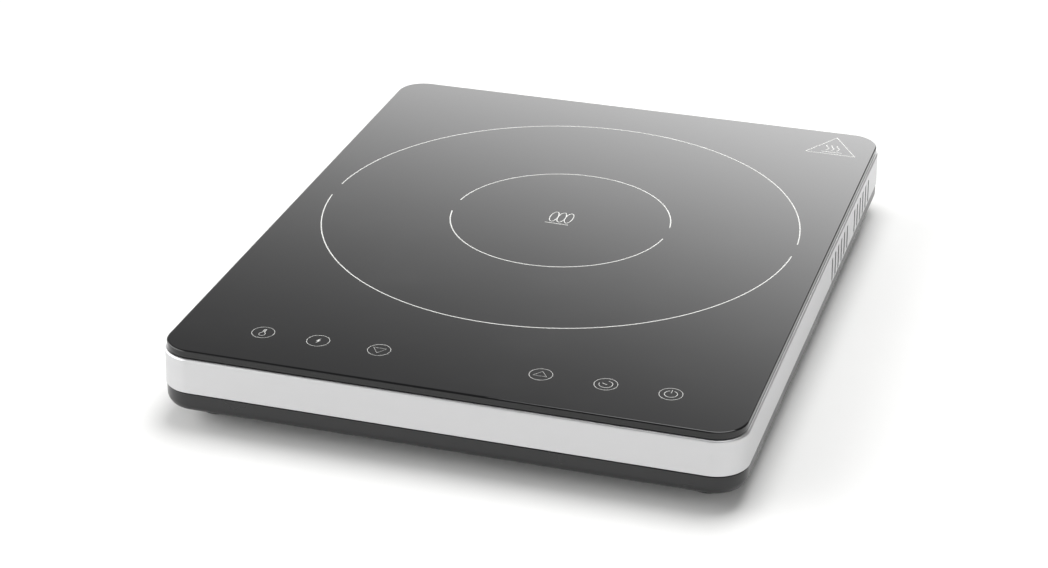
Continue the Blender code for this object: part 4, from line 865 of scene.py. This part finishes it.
def shell_holes():
    """The fan's grille, the screw recesses, the foot holes and the cord gland's hole."""
    holes = bmesh.new()
    low = BASE_LOW.z
    below = low - MM
    above = BOSS_TOP + MM
    stepped = [
        (0, below),
        (RECESS_MOUTH, below),
        (RECESS_MOUTH, low),
        (RECESS_RADIUS, low + RECESS_CHAMFER),
        (RECESS_RADIUS, SCREW_SEAT),
        (SCREW_BORE, SCREW_SEAT),
        (SCREW_BORE, above),
        (0, above),
    ]
    for name in numbered("case_screw", CASE_SCREWS):
        turn(holes, stepped, under(name), steps=32)
    for name in numbered("coil_screw", COIL_SCREWS):
        peg(holes, SCREW_BORE, BOSS_TOP - COIL_BORE_DEPTH, above, under(name), steps=16)
    for name in FOOT_NAMES:
        peg(holes, FOOT_HOLE, below, low + 2 * BASE_WALL, under(f"foot_{name}"), steps=24)
    rows = int(GRILLE_RADIUS // GRILLE_PITCH)
    for row in range(-rows, rows + 1):
        offset = row * GRILLE_PITCH
        long = 2 * math.sqrt(GRILLE_RADIUS**2 - offset**2)
        centre = (FAN_AXIS[0], FAN_AXIS[1] + offset, low + BASE_WALL / 2)
        edges = block(holes, (long, GRILLE_SLOT, 3 * BASE_WALL), centre)
        bevelled(holes, upright(edges), 0.499 * GRILLE_SLOT, segments=6)
    face_inwards(holes, at(GLAND_HOLE), steps=40)
    return holes


def face_inwards(bm, profile, steps=STEPS_ROUND):
    """Spins (radius, depth) points about the gland's axis, from the rear face inwards."""
    gland = centre_of("cord_gland")
    rotation = Matrix.Rotation(math.pi / 2, 4, "X")
    turn(bm, profile, (gland.x, HALF_Y + BASE_OFFSET, gland.z), steps, rotation)


def rubber_feet():
    rubber = black_rubber()
    for name in FOOT_NAMES:
        low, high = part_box(f"foot_{name}")
        radius = (high.x - low.x) / 2
        top = BASE_LOW.z - 0.3 * MM
        barb = BASE_LOW.z + BASE_WALL + 0.3 * MM
        shoulder = (radius - 0.6 * MM, top - FOOT_SHOULDER)
        profile = [
            *at(FOOT_DIMPLE),
            *rounded((radius - FOOT_EDGE, FOOT_EDGE), FOOT_EDGE, -90, 0, 5),
            *rounded(shoulder, FOOT_SHOULDER, 0, 90, 3),
            (FOOT_STEM, top),
            (FOOT_STEM, barb),
            (FOOT_BARB, barb),
            (FOOT_BARB - 0.1 * MM, barb + 0.5 * MM),
            (FOOT_STEM, high.z),
            (0, high.z),
        ]
        bm = bmesh.new()
        turn(bm, profile, under(f"foot_{name}"), steps=56)
        made = f"rubber_foot_{name}"
        piece(bm, made, rubber, replaces=[f"foot_{name}"])


def screw(centre, seat, point):
    """A pan-head screw with a cross recess, its head outside the seat, its thread to the point."""
    thread = []
    level = THREAD_START
    reach = abs(point - seat)
    while level < reach - SCREW_TIP:
        thread += [(THREAD_CORE, level), (THREAD_RADIUS, level + THREAD_PITCH / 2)]
        level += THREAD_PITCH
    thread += [(THREAD_CORE, level), (0.3 * MM, reach - 0.1 * MM), (0, reach)]
    bm = bmesh.new()
    turn(bm, at(SCREW_HEAD) + thread, steps=28)
    arms = [bmesh.new(), bmesh.new()]
    for arm, size in zip(arms, CROSS_ARMS):
        block(arm, size, (0, 0, -SCREW_HEAD_HEIGHT))
    bm = combined(bm, combined(*arms, "UNION"), "DIFFERENCE")
    up = 1 if point > seat else -1
    matrix = Matrix.Translation((centre.x, centre.y, seat)) @ Matrix.Diagonal((1, up, up, 1))
    bmesh.ops.transform(bm, matrix=matrix, verts=bm.verts)
    return bm


def screws():
    zinc = zinc_steel()
    for number, name in enumerate(numbered("case_screw", CASE_SCREWS), 1):
        low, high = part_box(name)
        bm = screw(centre_of(name), low.z + SCREW_HEAD_HEIGHT, high.z)
        piece(bm, f"shell_screw_{number}", zinc, replaces=[name])
    for number, name in enumerate(numbered("coil_screw", COIL_SCREWS), 1):
        low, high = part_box(name)
        bm = screw(centre_of(name), high.z - SCREW_HEAD_HEIGHT, low.z)
        piece(bm, f"coil_guide_screw_{number}", zinc, replaces=[name])


def gland_ring():
    profile = rounded((4.1 * MM, 0.5 * MM), 0.5 * MM, 180, 270, 3)
    profile += rounded((4.3 * MM, 0.4 * MM), 0.4 * MM, 270, 360, 3)
    bm = bmesh.new()
    face_inwards(bm, profile + at(GLAND_FLANGE))
    piece(bm, "gland_ring", black_rubber(), replaces=["cord_gland"])


def fan_housing():
    size = FAN_HIGH.x - FAN_LOW.x
    bottom = FAN_LOW.z
    top = FAN_HIGH.z
    middle = (FAN_LOW + FAN_HIGH) / 2
    axis = middle.xy.to_3d()
    duct = size / 2 - FAN_WALL
    flare = duct + FAN_FLARE
    bm = bmesh.new()
    edges = block(bm, (size, size, top - bottom), middle)
    bevelled(bm, upright(edges), FAN_CORNER, segments=6)
    holes = bmesh.new()
    low = bottom - MM
    high = top + MM
    bore = [(0, low), (flare, low), (flare, bottom), (duct, bottom + FAN_FLARE_DEPTH)]
    bore += [(duct, top - FAN_FLARE_DEPTH), (flare, top), (flare, high), (0, high)]
    turn(holes, bore, axis, steps=72)
    reach = size / 2 - FAN_CORNER
    for side_x in (-1, 1):
        for side_y in (-1, 1):
            place = axis + Vector((side_x * reach, side_y * reach, 0))
            peg(holes, FAN_HOLE, low, high, place, steps=20)
    bm = combined(bm, holes, "DIFFERENCE")
    plate = bottom + MOTOR_PLATE
    bearing = plate + BEARING_HEIGHT
    chamfer = 0.4 * MM
    motor = [(BEARING_BORE, bottom), (MOTOR_RADIUS - chamfer, bottom)]
    motor += [(MOTOR_RADIUS, bottom + chamfer), (MOTOR_RADIUS, plate)]
    motor += [(BEARING_RADIUS, plate), (BEARING_RADIUS, bearing), (BEARING_BORE, bearing)]
    spider = bmesh.new()
    turn(spider, motor, axis)
    reach = duct + 1.5 * MM
    for angle in SPIDER_ANGLES:
        arm = bmesh.new()
        turned = Matrix.Rotation(math.radians(angle), 4, "Z")
        where = axis + turned @ Vector(((SPIDER_ROOT + reach) / 2, 0, 0))
        where.z = bottom + MOTOR_PLATE / 2
        block(arm, (reach - SPIDER_ROOT, *SPIDER_ARM), where, turned)
        spider = combined(spider, arm, "UNION")
    bm = combined(bm, spider, "UNION")
    finish = shell_plastic()
    piece(bm, "fan_housing", finish, replaces=["fan_frame"])


def fan_wheel():
    """A hub with curved, pitched blades that ride on the turning body."""
    low = WHEEL_LOW.z
    high = WHEEL_HIGH.z
    centre = (FAN_AXIS[0], FAN_AXIS[1], 0)
    collar, depth = SHAFT_COLLAR
    roof = high - HUB_WALL
    profile = [
        (SHAFT_BORE, high),
        (SHAFT_BORE, high - depth),
        (collar, high - depth),
        (collar, roof),
        (HUB_RADIUS - HUB_WALL, roof),
        (HUB_RADIUS - HUB_WALL, low),
        (HUB_RADIUS, low),
        *rounded((HUB_RADIUS - HUB_EDGE, high - HUB_EDGE), HUB_EDGE, 0, 90, 5),
    ]
    bm = bmesh.new()
    turn(bm, profile, centre)
    count = bpy.context.scene.hob_sizes.fan_blades
    tip = (WHEEL_HIGH.x - WHEEL_LOW.x) / 2 - 0.2 * MM
    for number in range(count):
        blade = curved_blade(HUB_RADIUS - 0.8 * MM, tip, low + BLADE_INSET, high - BLADE_INSET)
        turned = Matrix.Rotation(math.tau * number / count, 4, "Z")
        matrix = Matrix.Translation(centre) @ turned
        bmesh.ops.transform(blade, matrix=matrix, verts=blade.verts)
        bm = combined(bm, blade, "UNION")
    # Moulded PBT: black with a soft shine, its tool's grain drawn coarser, at 1.2 mm
    black = grained("Black PBT fan wheel", linear("202022"), 0.4, 1.2, 0.03)
    piece(bm, "fan_wheel", black, "fan", replaces=["fan_rotor"])


def curved_blade(root, tip, low, high):
    """One blade: a strip that leans back and arches between its two edges, given a wall."""
    bm = bmesh.new()
    columns, rows = BLADE_GRID
    made = bmesh.ops.create_grid(bm, x_segments=columns, y_segments=rows, size=0.5)["verts"]
    for vert in made:
        along = vert.co.x + 0.5
        up = vert.co.y + 0.5
        radius = root + (tip - root) * along
        chord = (9 + 3 * along) * MM
        arch = 1.6 * MM * math.sin(math.pi * up)
        sweep = chord * (up - 0.5) + arch - 3.0 * MM * along**2
        x = math.sqrt(max(radius**2 - sweep**2, 0))
        vert.co = Vector((x, sweep, low + (high - low) * up))
    bmesh.ops.recalc_face_normals(bm, faces=bm.faces)
    bmesh.ops.solidify(bm, geom=bm.faces[:], thickness=BLADE_WALL)
    return bm


def litz_coil():
    """The flat spiral of stranded wire that lies on the carrier."""
    turns = bpy.context.scene.hob_sizes.coil_turns
    pitch = (COIL_OUTER - COIL_INNER) / turns
    points = []
    for step in range(turns * COIL_STEPS + 1):
        angle = math.pi / 2 + math.tau * step / COIL_STEPS
        radius = COIL_INNER + pitch * step / COIL_STEPS
        x = COIL_CENTRE[0] + radius * math.cos(angle)
        points.append((x, COIL_CENTRE[1] + radius * math.sin(angle)))
    bm = bmesh.new()
    wire = WIRE_SHARE * pitch
    share = (COIL_HIGH.z - COIL_LOW.z) / (2 * wire)
    tube(bm, points, wire, squash=(share, (COIL_LOW.z + COIL_HIGH.z) / 2))
    piece(bm, "litz_coil", litz_copper(), replaces=["coil_winding"])


def inner_finishes():
    """Gives the CAD nodes that are kept as they are their materials."""
    parts = plain_parts()
    springs = [*numbered("coil_spring", 3), *numbered("touch_spring", 6)]
    finishes = (
        (black_rubber(), ["glass_seal"]),
        (zinc_steel(), [*springs, "fan_shaft", "fan_bearing"]),
        (litz_copper(), ["coil_lead_inner", "coil_lead_outer"]),
        (parts["nylon"], ["coil_carrier", "sensor_holder"]),
        (pressed_mica(), ["mica_sheet"]),
        (parts["ferrite"], numbered("ferrite_bar", 6)),
        (board_laminate(), ["power_board", "control_board"]),
        (drawn_aluminium(), ["heatsink"]),
        (parts["epoxy"], ["igbt", "bridge_rectifier", "buzzer"]),
        (parts["film"], ["resonance_capacitor", "bus_capacitor"]),
        (wound_tape(), ["standby_transformer"]),
        (parts["terminal"], ["terminal_block"]),
        (parts["core"], ["filter_choke"]),
        (parts["dipped"], ["varistor"]),
        (parts["silicone"], ["temperature_sensor"]),
        (parts["sleeve"], ["electrolytic_capacitor"]),
        (parts["display"], ["led_display"]),
        (fuse_tube(), ["fuse"]),
        (ribbon_sheath(), ["ribbon_cable"]),
    )
    for finish, names in finishes:
        for name in names:
            mesh = frame["nodes"][name].data
            mesh.materials.clear()
            mesh.materials.append(finish)


# ---------------- stage


def dome():
    """A studio: bright low behind the hob, dark above it, and a broad light at each side."""
    world = bpy.data.worlds.new("Studio")
    bpy.context.scene.world = world
    world.use_nodes = True
    tree = world.node_tree
    settings = bpy.context.scene.hob_stage
    direction = add(tree, "ShaderNodeTexCoord").outputs["Generated"]
    # A ray that rises less than DOME_EDGE towards the pole meets the bright side, and the rest
    # the dark one, with a smooth change between them
    ray = {0: direction}
    above = add(tree, "ShaderNodeVectorMath", {1: DOME_POLE}, ray, operation="DOT_PRODUCT")
    angle = add(tree, "ShaderNodeMath", links={0: above.outputs["Value"]}, operation="ARCSINE")
    edge = {1: math.radians(DOME_EDGE)}
    past = add(tree, "ShaderNodeMath", edge, {0: angle.outputs[0]}, operation="SUBTRACT")
    width = {1: math.radians(DOME_SOFTNESS)}
    steps = add(tree, "ShaderNodeMath", width, {0: past.outputs[0]}, operation="DIVIDE")
    grown = add(tree, "ShaderNodeMath", links={0: steps.outputs[0]}, operation="EXPONENT")
    whole = add(tree, "ShaderNodeMath", {1: 1.0}, {0: grown.outputs[0]}, operation="ADD")
    share = add(tree, "ShaderNodeMath", {0: 1.0}, {1: whole.outputs[0]}, operation="DIVIDE")
    # The bright side is kept to the backdrop, and each side box adds its own level
    facing = add(tree, "ShaderNodeVectorMath", {1: BACKDROP}, ray, operation="DOT_PRODUCT")
    soft = {"interpolation_type": "SMOOTHSTEP"}
    links = {"Value": facing.outputs["Value"]}
    behind = add(tree, "ShaderNodeMapRange", BACKDROP_EDGE, links, **soft)
    links = {0: share.outputs[0], 1: behind.outputs[0]}
    card = add(tree, "ShaderNodeMath", links=links, operation="MULTIPLY")
    bright = {1: settings.dome_high}
    power = add(tree, "ShaderNodeMath", bright, {0: card.outputs[0]}, operation="MULTIPLY")
    dark = {1: settings.dome_low}
    total = add(tree, "ShaderNodeMath", dark, {0: power.outputs[0]}, operation="ADD")
    for aim, level in ((LEFT_BOX, settings.left), (RIGHT_BOX, settings.right)):
        towards = add(tree, "ShaderNodeVectorMath", {1: aim}, ray, operation="DOT_PRODUCT")
        links = {"Value": towards.outputs["Value"]}
        box = add(tree, "ShaderNodeMapRange", {**BOX_EDGE, "To Max": level}, links, **soft)
        links = {0: total.outputs[0], 1: box.outputs[0]}
        total = add(tree, "ShaderNodeMath", links=links, operation="ADD")
    background = tree.nodes["Background"]
    background.inputs["Color"].default_value = (1, 1, 1, 1)
    tree.links.new(total.outputs[0], background.inputs["Strength"])


def key_light():
    light = bpy.data.lights.new("key", "AREA")
    light.shape = "DISK"
    light.size = KEY_SIZE
    light.energy = bpy.context.scene.hob_stage.key
    holder = placed("key", light)
    holder.location = KEY_PLACE
    holder.rotation_euler = (-Vector(KEY_PLACE)).to_track_quat("-Z", "Y").to_euler()


def stage():
    bm = bmesh.new()
    bmesh.ops.create_grid(bm, x_segments=1, y_segments=1, size=FLOOR_HALF)
    mesh = bpy.data.meshes.new("studio_floor")
    bm.to_mesh(mesh)
    bm.free()
    # Matt paint rolled on board: pale, with a stipple of about 4 mm that barely shows
    rgba = bpy.context.scene.hob_stage.floor
    mesh.materials.append(grained("Painted studio floor", rgba, 0.85, 4.0, 0.05, mottle=0.01))
    floor = placed("studio_floor", mesh)
    dome()
    key_light()
    camera = bpy.data.cameras.new("camera")
    camera.lens = CAMERA_LENS
    camera.sensor_width = CAMERA_SENSOR
    holder = placed("camera", camera)
    holder.location = CAMERA_PLACE
    holder.rotation_euler = [math.radians(angle) for angle in CAMERA_ANGLES]
    bpy.context.scene.camera = holder
    bpy.context.scene.view_settings.view_transform = "Standard"


# ---------------- operators


class BuildStage(bpy.types.Operator):
    """Makes the floor, the studio light and the camera"""

    bl_idname = "hob.build_stage"
    bl_label = "Stage"

    def execute(self, context):
        stage()
        return {"FINISHED"}


class BuildGlass(bpy.types.Operator):
    """Makes the glass plate"""

    bl_idname = "hob.build_glass"
    bl_label = "Glass plate"

    def execute(self, context):
        glass_top()
        return {"FINISHED"}


class BuildPrint(bpy.types.Operator):
    """Prints the cooking zone, the keys and the hot-surface sign on the glass"""

    bl_idname = "hob.build_print"
    bl_label = "Printed signs"

    def execute(self, context):
        ink = fired_enamel()
        zone_rings(ink)
        zone_symbol(ink)
        keys(ink)
        hot_sign(ink)
        return {"FINISHED"}


class BuildBand(bpy.types.Operator):
    """Makes the silver band with its vent slots"""

    bl_idname = "hob.build_band"
    bl_label = "Silver band"

    def execute(self, context):
        silver_band()
        return {"FINISHED"}


class BuildShell(bpy.types.Operator):
    """Makes the bottom shell with its grille and recesses"""

    bl_idname = "hob.build_shell"
    bl_label = "Bottom shell"

    def execute(self, context):
        bottom_shell()
        return {"FINISHED"}


class BuildFeet(bpy.types.Operator):
    """Makes the four rubber feet"""

    bl_idname = "hob.build_feet"
    bl_label = "Rubber feet"

    def execute(self, context):
        rubber_feet()
        return {"FINISHED"}


class BuildScrews(bpy.types.Operator):
    """Makes the screws of the shell and the coil"""

    bl_idname = "hob.build_screws"
    bl_label = "Screws"

    def execute(self, context):
        screws()
        return {"FINISHED"}


class BuildGland(bpy.types.Operator):
    """Makes the rubber ring in the cord hole"""

    bl_idname = "hob.build_gland"
    bl_label = "Cord gland"

    def execute(self, context):
        gland_ring()
        return {"FINISHED"}


class BuildFan(bpy.types.Operator):
    """Makes the fan's housing and its wheel"""

    bl_idname = "hob.build_fan"
    bl_label = "Fan"

    def execute(self, context):
        fan_housing()
        fan_wheel()
        return {"FINISHED"}


class BuildCoil(bpy.types.Operator):
    """Winds the coil"""

    bl_idname = "hob.build_coil"
    bl_label = "Coil"

    def execute(self, context):
        litz_coil()
        return {"FINISHED"}


class FinishInnerParts(bpy.types.Operator):
    """Gives the inner CAD parts their materials"""

    bl_idname = "hob.finish_inner_parts"
    bl_label = "Inner finishes"

    def execute(self, context):
        inner_finishes()
        return {"FINISHED"}


OPERATORS = (
    BuildStage,
    BuildGlass,
    BuildPrint,
    BuildBand,
    BuildShell,
    BuildFeet,
    BuildScrews,
    BuildGland,
    BuildFan,
    BuildCoil,
    FinishInnerParts,
)


class HobPanel(bpy.types.Panel):
    bl_idname = "VIEW3D_PT_hob"
    bl_label = "Induction hob"
    bl_space_type = "VIEW_3D"
    bl_region_type = "UI"
    bl_category = "Hob"

    def draw(self, context):
        for operator in OPERATORS:
            self.layout.operator(operator.bl_idname)
        for group in (context.scene.hob_sizes, context.scene.hob_colours, context.scene.hob_stage):
            for name in group.__annotations__:
                self.layout.prop(group, name)


GROUPS = {"hob_sizes": HobSizes, "hob_colours": HobColours, "hob_stage": StageSettings}


def register():
    for name, group in GROUPS.items():
        bpy.utils.register_class(group)
        setattr(bpy.types.Scene, name, PointerProperty(type=group))
    for each in (*OPERATORS, HobPanel):
        bpy.utils.register_class(each)


def unregister():
    for each in (HobPanel, *reversed(OPERATORS)):
        bpy.utils.unregister_class(each)
    for name, group in GROUPS.items():
        delattr(bpy.types.Scene, name)
        bpy.utils.unregister_class(group)


def main():
    register()
    for operator in OPERATORS:
        getattr(bpy.ops.hob, operator.bl_idname.split(".")[1])()


if __name__ == "__main__":
    main()
